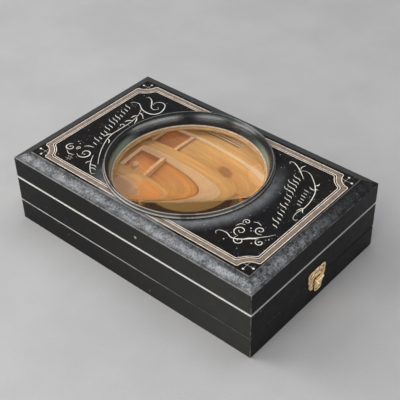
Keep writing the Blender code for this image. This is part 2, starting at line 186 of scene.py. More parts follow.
class Finish:
    """The node tree of one material. Lengths in it are millimetres on the part at rest."""

    def __init__(self, name, roughness=0.5, **plain):
        self.material = bpy.data.materials.new(name)
        self.material.use_nodes = True
        self.tree = self.material.node_tree
        self.shader = self.tree.nodes["Principled BSDF"]
        self.shader.inputs["Roughness"].default_value = roughness
        for socket, value in plain.items():
            self.shader.inputs[socket.replace("_", " ")].default_value = value
        source = self.add("TexCoord")
        where = {0: source.outputs["Object"], "Scale": 1 / MM}
        self.place = self.add("VectorMath", where, operation="SCALE").outputs[0]
        self.x, self.y, self.z = self.split(self.place)
        self.facing = self.split(source.outputs["Normal"])
        self.colour = None

    def add(self, kind, given=(), **settings):
        """Adds a node with its settings, and feeds its sockets, which are given in order or by name."""
        node = self.tree.nodes.new("ShaderNode" + kind)
        for key, value in settings.items():
            setattr(node, key, value)
        for socket, value in given.items() if isinstance(given, dict) else enumerate(given):
            self.feed(node.inputs[socket], value)
        return node

    def feed(self, socket, value):
        """Links a socket to another, or sets it to a plain value."""
        if isinstance(value, bpy.types.NodeSocket):
            self.tree.links.new(value, socket)
        elif socket.type == "RGBA":
            socket.default_value = (*value[:3], 1.0)
        else:
            socket.default_value = value

    def split(self, vector):
        return tuple(self.add("SeparateXYZ", [vector]).outputs)

    def calc(self, operation, *values, clamp=False):
        return self.add("Math", values, operation=operation, use_clamp=clamp).outputs[0]

    def chain(self, operation, values):
        total = values[0]
        for value in values[1:]:
            total = self.calc(operation, total, value)
        return total

    def plus(self, *values):
        return self.chain("ADD", values)

    def both(self, *masks):
        """Product of the values, which for masks is where all of them are."""
        return self.chain("MULTIPLY", masks)

    def either(self, *masks):
        return self.chain("MAXIMUM", masks)

    def unless(self, mask):
        return self.calc("SUBTRACT", 1.0, mask, clamp=True)

    def size_of(self, value):
        return self.calc("ABSOLUTE", value)

    def off(self, value, centre):
        return self.calc("SUBTRACT", value, centre)

    def sway(self, noise, amount):
        """Noise turned into a drift to both sides, of about that size."""
        return self.both(self.off(noise, 0.5), amount)

    def squares(self, one, other):
        return self.plus(self.calc("POWER", one, 2.0), self.calc("POWER", other, 2.0))

    def from_ring(self):
        """Distance from the ring's axis."""
        return self.calc("SQRT", self.squares(self.x, self.off(self.y, RING_Y)))

    def ease(self, value, low, high, start=0.0, end=1.0):
        """Start below low, end above high, with a smooth change between them."""
        given = (value, low, high, start, end)
        return self.add("MapRange", given, interpolation_type="SMOOTHSTEP").outputs[0]

    def fade(self, value, low, high):
        return self.ease(value, low, high, 1.0, 0.0)

    def near(self, value, centre, half, soft=0.3):
        return self.fade(self.size_of(self.off(value, centre)), half, half + soft)

    def level(self, mask, low, high):
        return self.add("MapRange", (mask, 0.0, 1.0, low, high)).outputs[0]

    def stretched(self, size, stretch=(1, 1, 1), shift=(0, 0, 0)):
        scale = [1 / (size * s) for s in stretch]
        return self.add("Mapping", {"Vector": self.place, "Location": shift, "Scale": scale}).outputs[0]

    def mottle(self, size, detail=3.0, rough=0.55, stretch=(1, 1, 1), shift=(0, 0, 0)):
        """Soft noise of that grain, mostly from 0.3 to 0.7."""
        given = {"Vector": self.stretched(size, stretch, shift), "Scale": 1.0}
        return self.add("TexNoise", {**given, "Detail": detail, "Roughness": rough}).outputs["Fac"]

    def specks(self, spacing, radius, share, shift=(0, 0, 0)):
        """Round spots: a share of the cells of that spacing has one, up to that radius."""
        node = self.add("TexVoronoi", {"Vector": self.stretched(spacing, shift=shift), "Scale": 1.0})
        red, green, _ = self.split(node.outputs["Color"])
        chosen = self.ease(red, 1 - share - 0.01, 1 - share)
        inside = self.off(self.both(green, radius / spacing), node.outputs["Distance"])
        return self.both(self.ease(inside, 0.0, 0.25 * radius / spacing), chosen)

    def mix(self, mask, under, over):
        return self.add("Mix", {0: mask, 6: under, 7: over}, data_type="RGBA").outputs[2]

    def coat(self, colour, *masks):
        """Lays a colour over what is there, where all the masks are."""
        self.colour = self.mix(self.both(*masks), self.colour, colour)

    def raise_by(self, height, distance, strength):
        """Adds relief of that many millimetres to the shading."""
        node = self.add("Bump", {"Height": height, "Distance": distance * MM, "Strength": strength})
        before = self.shader.inputs["Normal"].links
        if before:
            self.feed(node.inputs["Normal"], before[0].from_socket)
        self.feed(self.shader.inputs["Normal"], node.outputs[0])

    def painted(self, roughness=None):
        self.feed(self.shader.inputs["Base Color"], self.colour)
        if roughness is not None:
            self.feed(self.shader.inputs["Roughness"], roughness)
        return self.material


def ebonised_wood():
    """Black stained and polished wood: dust, wear and a painted sheen above, painted light and shade on the
    sides, bare pale wood in the seams, plain inside.
    """
    paint = colours()
    f = Finish("ebonised_wood_worn", 0.4, Specular_IOR_Level=0.11)
    across, along = f.size_of(f.x), f.size_of(f.y)
    nx, ny, nz = f.facing

    # Where things are
    inside = f.both(
        f.fade(f.z, EDGE_TOP_Z - 0.6, EDGE_TOP_Z - 0.2),
        f.fade(across, HALF_WIDTH - 1.0, HALF_WIDTH - 0.7),
        f.fade(along, HALF_LENGTH - 1.0, HALF_LENGTH - 0.7),
    )
    above = f.ease(nz, 0.3, 0.6)
    left_bevel = f.both(above, f.ease(nx, -0.15, -0.3))
    front_bevel = f.both(above, f.ease(ny, -0.15, -0.3))
    other_bevels = f.both(above, f.either(f.ease(nx, 0.15, 0.3), f.ease(ny, 0.15, 0.3)))
    flat = f.ease(nz, 0.95, 0.99)
    left_side = f.ease(nx, -0.7, -0.9)
    front_side = f.ease(ny, -0.7, -0.9)
    left_skin = f.ease(f.x, -HALF_WIDTH + 1.0, -HALF_WIDTH + 0.6)

    # Noise at the sizes of clouds, patches, grain and scuffs
    clouds = f.mottle(34, 4, 0.6, (1, 1.4, 1))
    patches = f.mottle(6.5, 6, 0.72, (1, 1.4, 1), (3, 1, 7))
    grain = f.mottle(0.9, 3, 0.6, (1, 14, 1))
    scuffs = f.mottle(1.1, 4, 0.75, (2.2, 1, 1), (9, 4, 2))
    blotched = f.plus(f.both(patches, 0.5), f.both(scuffs, 0.5))

    # The black polish: a little browner where it's thin, with painted shade that deepens the front side
    f.colour = paint.ebony
    f.coat(shade_of((1.5, 1.25, 1.1), 0.0065), f.ease(clouds, 0.4, 0.65))
    f.coat((0.012, 0.011, 0.0115), f.ease(grain, 0.5, 0.75), f.level(flat, 0.5, 0.25))
    # Painted shade: the front side, which faces away from the lamps, is darkened to near black
    f.coat((0.001, 0.001, 0.0012), front_side, 0.8)

    # Dust on the upper faces, with a painted sheen: thickest along the middle of the left bevel, and round
    # the ring, most on its left
    near_ring = f.calc("POWER", f.fade(f.from_ring(), 73.0, 90.0), 1.6)
    near_left = f.ease(f.plus(f.x, f.both(f.y, 0.8)), 12.0, -55.0)
    ring_haze_and_sheen = f.both(flat, near_ring, near_left, f.ease(blotched, 0.32, 0.62, 0.35, 1.0), 0.54)
    flat_dust = f.both(flat, f.ease(blotched, 0.5, 0.7), 0.05)
    up_bevel = f.ease(f.z, EDGE_TOP_Z + 0.2, EDGE_TOP_Z + 1.6)
    middle_of_bevel = f.both(up_bevel, f.ease(f.z, TOP_Z - 0.3, TOP_Z - 2.3))
    to_front = f.both(f.ease(f.y, -40.0, -125.0, 0.86, 1.0), f.ease(clouds, 0.35, 0.62, 0.8, 1.0))
    left_blotches = f.ease(blotched, 0.4, 0.6, 0.16, 1.0)
    left_dust_and_sheen = f.both(left_bevel, f.level(middle_of_bevel, 0.3, 1.0), left_blotches, to_front)
    front_middle = f.level(middle_of_bevel, 0.4, 1.0)
    to_corner = f.ease(f.x, 60.0, -70.0, 0.12, 1.0)
    front_dust = f.both(front_bevel, front_middle, f.ease(blotched, 0.41, 0.62, 0.1, 0.8), to_corner)
    far_dust = f.both(other_bevels, f.ease(blotched, 0.4, 0.7, 0.02, 0.12))
    dust_and_sheen = f.either(ring_haze_and_sheen, flat_dust, left_dust_and_sheen, front_dust, far_dust)
    # Painted sheen: the pale film is laid thickest on the left bevel and the left of the ring, the faces that
    # catch the light
    f.coat(paint.dust_and_sheen, dust_and_sheen, 0.85)

    # Specks of two sizes, and where there is room for them
    left_room = f.both(left_bevel, f.level(middle_of_bevel, 0.35, 1.0))
    front_room = f.both(front_bevel, f.level(middle_of_bevel, 0.4, 0.9))
    fine_room = f.either(left_room, f.both(front_room, 0.7), f.both(flat, 0.5), f.both(other_bevels, 0.25))
    big_ends = (f.both(left_room, 0.9), f.both(front_room, 0.6))
    big_room = f.either(*big_ends, f.both(flat, 0.75), f.both(other_bevels, 0.4))
    fine_spots = f.both(f.specks(2.3, 0.62, 0.5), fine_room, f.ease(patches, 0.4, 0.55))
    big_spots = f.both(f.specks(6.0, 0.7, 0.6, (11, 3, 5)), big_room, f.ease(clouds, 0.3, 0.5))
    f.coat((0.60, 0.62, 0.65), f.either(fine_spots, big_spots), 0.85)

    # The long left side is greyed by handling and by painted light, most towards the front, and chipped in
    # one place
    handled_and_lit = f.both(left_side, f.ease(f.y, 70.0, -132.0), f.ease(patches, 0.3, 0.7, 0.6, 1.0))
    # Painted light: the grey on the left side also stands for the light it takes from the left
    f.coat((0.048, 0.049, 0.042), handled_and_lit, 0.8)
    side_specks = f.both(
        f.either(left_side, f.both(front_side, 0.8)),
        f.either(f.specks(12.0, 0.9, 0.4, (5, 9, 1)), f.both(f.specks(4.2, 0.42, 0.3, (2, 6, 4)), 0.6)),
    )
    f.coat((0.36, 0.34, 0.31), side_specks, 0.75)
    from_chip = f.plus(f.squares(f.off(f.y, -14.0), f.off(f.z, 58.0)), f.both(patches, 3.0))
    f.coat((0.42, 0.37, 0.31), left_side, f.fade(from_chip, 2.6, 3.6))

    # Rubbed arrises
    broken = f.ease(patches, 0.4, 0.58)
    steadier = f.ease(patches, 0.25, 0.5)
    eave = f.both(
        f.near(f.z, EDGE_TOP_Z, 0.25, 0.35),
        f.ease(f.z, EDGE_TOP_Z - 1.2, EDGE_TOP_Z - 0.3),
        f.ease(f.x, -HALF_WIDTH + 1.2, -HALF_WIDTH + 0.6),
    )
    front_edge = f.ease(f.y, -HALF_LENGTH + 1.0, -HALF_LENGTH + 0.5)
    front_eave = f.both(f.near(f.z, EDGE_TOP_Z, 0.2, 0.3), front_edge, 0.55)
    upper = f.ease(f.z, EDGE_TOP_Z + 1, EDGE_TOP_Z + 2)
    left_ridge = f.both(
        upper,
        f.near(f.x, -FLAT_HALF_WIDTH, 0.18, 0.35),
        f.fade(along, FLAT_HALF_LENGTH, FLAT_HALF_LENGTH + 0.3),
    )
    front_ridge = f.both(
        upper,
        f.near(f.y, -FLAT_HALF_LENGTH, 0.16, 0.35),
        f.fade(across, FLAT_HALF_WIDTH, FLAT_HALF_WIDTH + 0.3),
    )
    corner = f.both(
        f.ease(f.x, -HALF_WIDTH + 0.7, -HALF_WIDTH + 0.25),
        f.ease(f.y, -HALF_LENGTH + 0.7, -HALF_LENGTH + 0.25),
    )
    rubbed = f.either(
        f.both(eave, steadier, 0.5),
        f.both(front_eave, broken, 0.35),
        f.both(left_ridge, steadier, 0.5),
        f.both(front_ridge, steadier, 0.35),
        f.both(corner, broken, 0.5),
    )
    f.coat((0.34, 0.33, 0.31), rubbed)

    # The upper seam shows bare wood all round, the lower one only towards the back of the left side
    seam_top = f.both(f.near(f.z, UPPER_SEAM_Z, 0.8, 0.12), f.ease(patches, 0.2, 0.42, 0.6, 1.0))
    outer_face = f.either(
        f.ease(across, HALF_WIDTH - 3.2, HALF_WIDTH - 3.0),
        f.ease(along, HALF_LENGTH - 3.2, HALF_LENGTH - 3.0),
    )
    bare_seam = f.both(seam_top, outer_face)
    f.coat(paint.ivory, bare_seam)
    low_seam = f.both(f.near(f.z, LOWER_SEAM_Z, 0.55, 0.2), left_skin, f.ease(f.y, -80.0, 60.0))
    f.coat(shade_of(paint.ivory, 0.75), low_seam, f.ease(patches, 0.3, 0.5, 0.5, 1.0))
    foot = f.both(f.ease(f.z, 0.9, 0.45), f.ease(f.y, -70.0, -100.0), left_skin)
    f.coat((0.40, 0.33, 0.29), foot, steadier, 0.7)

    # A fine crack across the flat in front of the ring
    wander = f.sway(f.mottle(9, 2), 1.6)
    crack = f.both(flat, f.near(f.plus(f.x, wander), 27.0, 0.05, 0.16), f.ease(f.y, -93.0, -97.0))
    f.coat((0.20, 0.20, 0.20), crack, 0.5)

    # Plain wood inside and under
    fibre = f.ease(f.mottle(1.3, 4, 0.6, (1, 22, 1), (2, 2, 2)), 0.32, 0.68)
    plain = f.mix(fibre, shade_of(paint.plain_wood, 0.7), shade_of(paint.plain_wood, 1.35))
    hidden = f.both(inside, f.unless(bare_seam))
    f.coat(plain, hidden)

    rough = f.level(f.ease(patches, 0.3, 0.7), 0.30, 0.42)
    rough = f.plus(rough, f.both(f.either(dust_and_sheen, rubbed, handled_and_lit), 0.22))
    f.raise_by(grain, 0.05, 0.35)
    f.raise_by(f.mottle(0.55, 2, 0.7), 0.04, 0.35)
    f.raise_by(f.mottle(16, 2), 0.35, 0.35)
    return f.painted(f.either(rough, f.both(hidden, 0.75)))


def ring_black():
    """Turned and polished black, rubbed silver-brown on its beads with painted highlights, dust lying in the
    groove, and a painted teal reflection low on the slope.
    """
    f = Finish("ring_polished_black", 0.2, Specular_IOR_Level=0.55)
    out = f.from_ring()
    patches = f.mottle(9, 4, 0.6)
    fine = f.mottle(1.4, 3, 0.65, shift=(4, 4, 4))
    above_ledge = f.ease(f.z, LEDGE_Z, LEDGE_Z + 0.6)
    f.colour = f.mix(f.ease(patches, 0.35, 0.7), (0.0075, 0.0085, 0.0095), (0.015, 0.017, 0.018))

    # The crest and the bead are rubbed, with painted highlights, most on the left
    lit_towards_left = f.ease(f.plus(f.x, f.both(f.y, 0.35)), 10.0, -62.0, 0.4, 1.0)
    crest = f.both(f.near(out, 71.9, 0.35, 0.5), f.ease(f.z, RING_TOP_Z - 0.25, RING_TOP_Z - 0.02))
    bead = f.both(f.near(out, 72.8, 0.45, 0.5), f.near(f.z, 75.7, 0.35, 0.35), 0.9)
    rubbed = f.both(f.either(crest, bead), f.ease(patches, 0.3, 0.5, 0.35, 1.0), lit_towards_left)
    # Painted highlight: the pale lines on the crest and bead stand for light caught by the beads on the left
    f.coat((0.46, 0.43, 0.38), rubbed, 0.8)

    # Dust in the groove and low on the slope, and a painted teal reflection low on the slope at two sides
    groove = f.both(f.near(f.z, 76.4, 0.35, 0.3), f.ease(out, 72.2, 72.6), f.ease(fine, 0.3, 0.6))
    f.coat((0.16, 0.15, 0.13), groove, 0.35)
    f.coat((0.45, 0.47, 0.48), f.specks(2.3, 0.26, 0.16), 0.5)
    foot_dust = f.both(f.ease(f.z, RING_TOP_Z - 9.6, RING_TOP_Z - 11.0), above_ledge)
    f.coat((0.33, 0.26, 0.19), foot_dust, 0.08, f.ease(fine, 0.3, 0.6))
    low_slope = f.both(f.ease(f.z, RING_TOP_Z - 3.5, RING_TOP_Z - 8.0), above_ledge)
    reflecting_sides = f.either(
        f.both(f.ease(f.x, 12.0, -12.0), f.ease(f.y, 20.0, 45.0)),
        f.both(f.ease(f.x, 20.0, 50.0), f.ease(f.y, -10.0, -40.0)),
    )
    # Painted reflection: teal patches stand for the greenish glass edge mirrored in the slope
    f.coat((0.23, 0.33, 0.29), low_slope, reflecting_sides, 0.85)

    # Bare wood below the glass
    raw = f.both(f.ease(f.z, LEDGE_Z + 0.85, LEDGE_Z + 0.75), f.ease(out, 68.0, 67.6))
    f.coat(f.mix(f.ease(patches, 0.35, 0.65), (0.42, 0.24, 0.09), (0.52, 0.32, 0.13)), raw)
    f.raise_by(f.calc("SINE", f.both(out, 9.0)), 0.01, 0.25)
    f.raise_by(fine, 0.02, 0.25)
    return f.painted(f.plus(f.level(f.ease(fine, 0.3, 0.7), 0.17, 0.27), f.both(rubbed, 0.12)))


def board_wood(name, face, edge, redness=0.0, knot=None, shift=0.0):
    """Natural wood: long fine grain, soft rings, small dark pores, and paler sawn edges, lightened further by
    painted light.
    """
    f = Finish(name, 0.5, Specular_IOR_Level=0.35)
    across = f.plus(f.x, f.sway(f.mottle(30, 2, 0.5, (1, 3, 1), (shift, 0, 0)), 26.0))
    if knot:
        dx = f.off(f.x, knot[0])
        from_knot = f.calc("SQRT", f.squares(dx, f.both(f.off(f.y, knot[1]), 0.75)))
        across = f.plus(across, f.both(f.fade(from_knot, 2.0, 17.0), f.calc("SIGN", dx), 7.0))
    rings = f.calc("SINE", f.both(across, 1.3))
    fibre = f.mottle(0.7, 4, 0.6, (1, 30, 1), (shift, 3, 3))
    streak = f.mottle(2.4, 3, 0.6, (1, 18, 1), (shift, 8, 8))
    figure = f.ease(f.plus(f.both(rings, 0.05), f.both(streak, 0.95)), 0.32, 0.66)
    f.colour = f.mix(figure, shade_of(face, 0.89), shade_of(face, 1.09))
    f.coat(shade_of(face, 0.5), f.ease(fibre, 0.5, 0.7), 0.34)
    reddish = (face[0] * 0.95, face[1] * 0.62, face[2] * 0.45)
    f.coat(reddish, f.ease(f.mottle(26, 2, 0.5, (1, 1.6, 1), (shift, 5, 1)), 0.4, 0.7), 0.25 + redness)
    if knot:
        f.coat(shade_of(reddish, 0.8), f.fade(from_knot, 5.0, 13.0), 0.3)
        f.coat((0.24, 0.085, 0.025), f.fade(f.plus(from_knot, f.both(f.mottle(3, 3), 3.0)), 4.2, 7.2), 0.7)

    # The left side of the leaf is a vivid orange, in part painted light where it lies brightly lit
    drift = f.sway(f.mottle(7, 3, 0.55, (1, 9, 1)), 16.0)
    left_part = f.ease(f.plus(f.x, drift), -12.0, -19.0)
    middle_part = f.both(f.ease(f.y, 52.0, 20.0), f.ease(f.y, -66.0, -20.0))
    leaf_face = f.ease(f.z, LEAF_TOP_Z - 1.5, LEAF_TOP_Z - 0.5)
    # Painted light: the vivid orange also stands for the bright light on the left of the leaf
    f.coat(colours().warm_board, left_part, middle_part, leaf_face, 0.75)

    # Sawn edges: paler end wood, lightened further by painted light on the slot walls
    sawn = f.mottle(0.9, 3, 0.6, (14, 14, 1), (shift, 1, 1))
    end_tone = f.mix(f.ease(sawn, 0.3, 0.7), shade_of(edge, 0.92), edge)
    end_tone = f.mix(f.both(f.ease(f.x, -20.0, -23.0), 0.5), end_tone, (1.0, 0.60, 0.34))
    # Painted light: the upright faces are painted near white to stand for the light on the slot walls
    f.coat(end_tone, f.ease(f.size_of(f.facing[2]), 0.8, 0.5))
    f.raise_by(fibre, 0.05, 0.4)
    f.raise_by(streak, 0.12, 0.25)
    return f.painted(f.level(f.ease(fibre, 0.3, 0.7), 0.42, 0.6))


def plain_board():
    """Unpolished stained wood of the underside."""
    base = colours().plain_wood
    f = Finish("plain_board", 0.7, Specular_IOR_Level=0.3)
    fibre = f.mottle(1.1, 4, 0.6, (1, 26, 1))
    streak = f.mottle(6, 3, 0.6, (1, 12, 1), (4, 0, 0))
    f.colour = f.mix(f.ease(fibre, 0.3, 0.7), shade_of(base, 0.75), shade_of(base, 1.3))
    f.coat(shade_of(base, 0.55), f.ease(streak, 0.45, 0.7), 0.5)
    f.coat(shade_of(base, 0.35), f.specks(9, 0.9, 0.3), 0.5)
    f.raise_by(fibre, 0.08, 0.5)
    return f.painted(f.level(fibre, 0.6, 0.8))


HATCH_SPACING = 0.62


def gilding(name, base, hatched=False):
    """Dull gilding with small losses. Hatched, it is cut into fine squares by hairlines both ways."""
    f = Finish(name, 0.5, Metallic=0.0, Specular_IOR_Level=0.5)
    patches = f.mottle(5, 4, 0.65)
    fine = f.mottle(0.6, 3, 0.7, shift=(7, 7, 7))
    f.colour = f.mix(f.ease(patches, 0.35, 0.65), shade_of(base, 0.82), shade_of(base, 1.12))
    if hatched:
        turns = [f.calc("SINE", f.both(value, 2 * math.pi / HATCH_SPACING)) for value in (f.x, f.y)]
        f.coat((0.045, 0.034, 0.027), f.either(*(f.ease(turn, 0.1, 0.5) for turn in turns)), 0.7)
    loss = f.either(f.ease(fine, 0.62, 0.7), f.both(f.ease(patches, 0.6, 0.7), f.ease(fine, 0.5, 0.6)))
    f.coat((0.03, 0.026, 0.024), loss, 0.75)
    f.raise_by(fine, 0.02, 0.3)
    return f.painted(f.level(patches, 0.4, 0.6))


def lens_glass():
    """Clear old glass with a faint olive body, which shows only along the lens."""
    f = Finish("lens_clear_glass", 0.0, Transmission_Weight=1.0, IOR=1.52)
    body = f.add("VolumeAbsorption", {"Color": (0.89, 0.63, 0.06), "Density": 18.0})
    f.feed(f.tree.nodes["Material Output"].inputs["Volume"], body.outputs[0])
    f.colour = (1.0, 1.0, 1.0)
    return f.painted()


def stamped_brass(name, from_relief=False, metallic=0.85):
    """Lacquered brass, darkened in its hollows. A pressed piece carries its own relief as a value."""
    base = colours().brass
    f = Finish(name, 0.3, Metallic=metallic)
    clouds = f.mottle(4, 4, 0.6)
    fine = f.mottle(0.5, 3, 0.65, shift=(3, 3, 3))
    f.colour = f.mix(f.ease(clouds, 0.35, 0.7), base, (base[0] * 0.78, base[1] * 0.62, base[2] * 0.5))
    f.coat(shade_of(base, 0.35), f.ease(fine, 0.55, 0.72), 0.5)
    rough = f.level(f.ease(fine, 0.3, 0.7), 0.40, 0.56)
    if from_relief:
        relief = f.add("Attribute", attribute_name="relief").outputs["Fac"]
        hollow = f.ease(relief, 0.45, 0.02)
        f.coat((0.13, 0.07, 0.025), hollow, 0.85)
        f.coat((0.95, 0.82, 0.58), f.ease(relief, 0.8, 1.0), 0.5)
        rough = f.plus(rough, f.both(hollow, 0.3))
    f.raise_by(fine, 0.02, 0.3)
    return f.painted(rough)


def pale_rim_finish():
    """The thin pale ring that holds the glass."""
    f = Finish("pale_rim", 0.5)
    fine = f.mottle(1.6, 3, 0.6)
    f.colour = f.mix(f.ease(fine, 0.35, 0.65), (0.40, 0.29, 0.20), (0.60, 0.47, 0.35))
    f.coat((0.08, 0.06, 0.045), f.ease(fine, 0.6, 0.72), 0.6)
    f.raise_by(fine, 0.05, 0.3)
    return f.painted(0.5)


def piece(name, bm, finish, body, replaced=(), smooth_angle=40):
    """Puts a mesh in the scene as a piece of the part."""
    mesh = bpy.data.meshes.new(name)
    bm.to_mesh(mesh)
    bm.free()
    mesh.materials.append(finish)
    obj = bpy.data.objects.new(name, mesh)
    bpy.context.scene.collection.objects.link(obj)
    mesh.shade_smooth()
    mesh.set_sharp_from_angle(angle=math.radians(smooth_angle))
    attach(obj, body)
    if replaced:
        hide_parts(*replaced)
    return obj


def softened(node, finish, width, least_angle=15.0):
    """A copy of a wooden solid with its arrises rounded, standing for the solid."""
    source = frame["nodes"][node]
    bm = bmesh.new()
    bm.from_mesh(source.data)
    bmesh.ops.remove_doubles(bm, verts=bm.verts, dist=0.002 * MM)
    flat_angle = math.radians(0.3)
    bmesh.ops.dissolve_limit(bm, angle_limit=flat_angle, verts=bm.verts, edges=bm.edges, delimit={"NORMAL"})
    obj = piece(node + "_finished", bm, finish, source["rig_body"], (node,), 30)
    bevel = obj.modifiers.new("rubbed_edges", "BEVEL")
    bevel.width = width
    bevel.segments = 2
    bevel.limit_method = "ANGLE"
    bevel.angle_limit = math.radians(least_angle)
    bevel.harden_normals = True
    bevel.use_clamp_overlap = True


def circle(steps):
    """Cosine and sine of each step round a circle."""
    turns = [2 * math.pi * step / steps for step in range(steps)]
    return [(math.cos(turn), math.sin(turn)) for turn in turns]


def point(bm, x, y, z):
    """A point of a mesh, given in millimetres."""
    return bm.verts.new((x * MM, y * MM, z * MM))


def skin(bm, rows, capped=True):
    """Joins rows of points round a form, and closes its ends. A row of one point is a pole."""
    for row, following in zip(rows, rows[1:]):
        for step in range(max(len(row), len(following))):
            pairs = ((row, step), (row, step + 1), (following, step + 1), (following, step))
            corners = dict.fromkeys(of[place % len(of)] for of, place in pairs)
            if len(corners) > 2:
                bm.faces.new(list(corners))
    if capped:
        bm.faces.new(rows[-1])
        bm.faces.new(list(reversed(rows[0])))


def turned(profile):
    """Spins a closed profile of (radius, height) in millimetres about the ring's upright axis."""
    bm = bmesh.new()
    rows = []
    for radius, height in profile:
        round_about = circle(sizes().ring_steps) if radius > NEARLY_NOTHING else [(0, 0)]
        rows.append([point(bm, radius * c, RING_Y + radius * s, height) for c, s in round_about])
    skin(bm, rows + rows[:1], capped=False)
    bmesh.ops.recalc_face_normals(bm, faces=bm.faces)
    return bm


def arc(centre, radius, start, end, count):
    points = []
    for step in range(count + 1):
        turn = math.radians(start + (end - start) * step / count)
        points.append((centre[0] + radius * math.cos(turn), centre[1] + radius * math.sin(turn)))
    return points


def bent(start, pull, end, count):
    """Points along a curve from start to end, drawn towards a third point."""
    start, pull, end = Vector(start), Vector(pull), Vector(end)
    shares = [step / count for step in range(count + 1)]
    return [tuple(start * (1 - t) ** 2 + pull * 2 * t * (1 - t) + end * t**2) for t in shares]


def smooth_path(points, spacing=0.6):
    """Points along a smooth curve through the given ones, at about that spacing."""
    knots = [Vector(p) for p in points]
    knots = [2 * knots[0] - knots[1], *knots, 2 * knots[-1] - knots[-2]]
    made = []
    for before, start, end, after in zip(knots, knots[1:], knots[2:], knots[3:]):
        slope = end - before
        bend = 2 * before - 5 * start + 4 * end - after
        twist = 3 * start - before - 3 * end + after
        count = max(2, round((end - start).length / spacing))
        for t in (step / count for step in range(count)):
            made.append(0.5 * (2 * start + slope * t + bend * t * t + twist * t**3))
    return made + [Vector(points[-1])]


# Section of a gilt line: share of its half width, and share of its thickness
LINE_SECTION = ((1, -0.5), (0.96, 0.4), (0, 1), (-0.96, 0.4), (-1, -0.5))


def ribbon(bm, path, width_at):
    """Lays a low rounded line on the lid along a path in millimetres. width_at(0..1) is its full width."""
    thick = in_mm("gilt_thickness")
    points = [Vector(p) for p in path]
    last = len(points) - 1
    rows = []
    for number, spot in enumerate(points):
        steps = [spot - points[max(0, number - 1)], points[min(last, number + 1)] - spot]
        steps = [step.normalized() for step in steps if step.length > NEARLY_NOTHING]
        incoming, outgoing = steps[0], steps[-1]
        ahead = (incoming + outgoing).normalized()
        side = Vector((-ahead.y, ahead.x))
        stretch = 1 / max(0.5, side.dot(Vector((-outgoing.y, outgoing.x))))
        half = 0.5 * width_at(number / last) * stretch
        across = [(spot + side * half * share, TOP_Z + height * thick) for share, height in LINE_SECTION]
        rows.append([point(bm, place.x, place.y, z) for place, z in across])
    skin(bm, rows)


def even(width):
    return lambda share: width


def held(value):
    return max(0.0, min(1.0, value))


def swelling(thin, thick, peak=0.5):
    """Width of a pen stroke: thin at the ends, thick at the peak."""

    def width(share):
        away = share / peak if share < peak else (1 - share) / (1 - peak)
        return thin + (thick - thin) * math.sin(0.5 * math.pi * held(away)) ** 1.3

    return width


def dot(bm, x, y, radius):
    """A low domed spot of gilding."""
    thick = 1.6 * in_mm("gilt_thickness")
    rows = []
    for share, height in ((1.0, -0.4), (0.96, 0.4), (0.6, 0.85)):
        reach = radius * share
        rows.append([point(bm, x + reach * c, y + reach * s, TOP_Z + height * thick) for c, s in circle(18)])
    skin(bm, rows)


def border_halves(inset):
    """The border's line at that inset as a front and a back path, whose ends lie hidden under the ring.

    Each corner is hollowed by an arc, with a short straight ear on either side of it.
    """
    half_x, half_y = in_mm("border_half_width"), in_mm("border_half_length")
    notch = in_mm("corner_notch") + inset
    ear = 1.3
    reach = math.degrees(math.acos(inset / notch))
    corner = arc((0, 0), notch, reach - 4, 90 - reach + 4, 10)
    meets = math.sqrt(notch**2 - inset**2) + ear
    corner = [(inset, meets)] + corner + [(meets, inset)]
    side = half_x - inset
    hidden = math.sqrt(max(0.0, UNDER_RING**2 - side**2))
    halves = []
    for end in (-1, 1):
        near, far = [[(sign * end * (half_x - a), end * (half_y - b)) for a, b in corner] for sign in (1, -1)]
        under = RING_Y + end * hidden
        halves.append([(end * side, under)] + near + far[::-1] + [(-end * side, under)])
    return halves


class VIEWER_OT_carcass(bpy.types.Operator):
    """Rounds and finishes the tray, the lid frame, the bevelled top and the bottom board."""

    bl_idname = "viewer.carcass"
    bl_label = "Ebonised carcass"

    def execute(self, context):
        black = ebonised_wood()
        for node in ("base_tray", "lid_frame", "lens_panel"):
            softened(node, black, sizes().arris)
        softened("bottom_board", plain_board(), sizes().arris)
        return {"FINISHED"}


class VIEWER_OT_ring(bpy.types.Operator):
    """Turns the black ring finely, with its two beads and its slope down to the glass."""

    bl_idname = "viewer.ring"
    bl_label = "Lens ring"

    def execute(self, context):
        flange, foot, ledge = TOP_Z + 0.3, TOP_Z - 6.2, TOP_Z - 10.9
        bore, seat, neck = 63.5, 66.9, 69.2
        profile = arc((71.8, RING_TOP_Z - 1), 1, 90, -35, 8)
        profile += arc((72.35, TOP_Z + 1.6), 1.25, 80, -60, 10)
        profile += [(72.8, flange), (neck, flange), (neck, RING_FOOT_Z), (bore, RING_FOOT_Z)]
        profile += [(bore, ledge - 0.6), (seat, ledge), (seat, foot - 0.02)]
        profile += bent((seat, foot), (68.5, RING_TOP_Z - 1.7), (71.6, RING_TOP_Z), 20)
        piece("ring_finished", turned(profile), ring_black(), "lid", ("lens_ring",), 35)
        return {"FINISHED"}


class VIEWER_OT_glass(bpy.types.Operator):
    """Grinds the convex lens and sets the thin pale ring that holds it."""

    bl_idname = "viewer.glass"
    bl_label = "Lens and rim"

    def execute(self, context):
        curve = 325.0
        span = math.degrees(math.asin(reach_of("lens", "x")[1] / curve))
        drop = curve * math.cos(math.radians(span))
        edge_top, edge_bottom = TOP_Z - 7.6, TOP_Z - 10.6
        profile = arc((0, edge_top - drop), curve, 90, 90 - span, 40)
        profile += arc((0, edge_bottom + drop), curve, span - 90, -90, 40)
        for pole in (0, -1):
            profile[pole] = (0.0, profile[pole][1])
        glass = piece("lens_glass", turned(profile), lens_glass(), "lid", ("lens",), 30)
        glass.visible_shadow = False

        outer = reach_of("retaining_rim", "x")[1]
        bottom, top = reach_of("retaining_rim", "z")
        inner = outer - 1.2
        profile = [(outer, top), (outer, bottom), (inner, bottom)]
        profile += arc((inner + 0.5, top - 0.5), 0.5, 180, 90, 6)
        piece("pale_rim", turned(profile), pale_rim_finish(), "lid", ("retaining_rim",), 35)
        return {"FINISHED"}


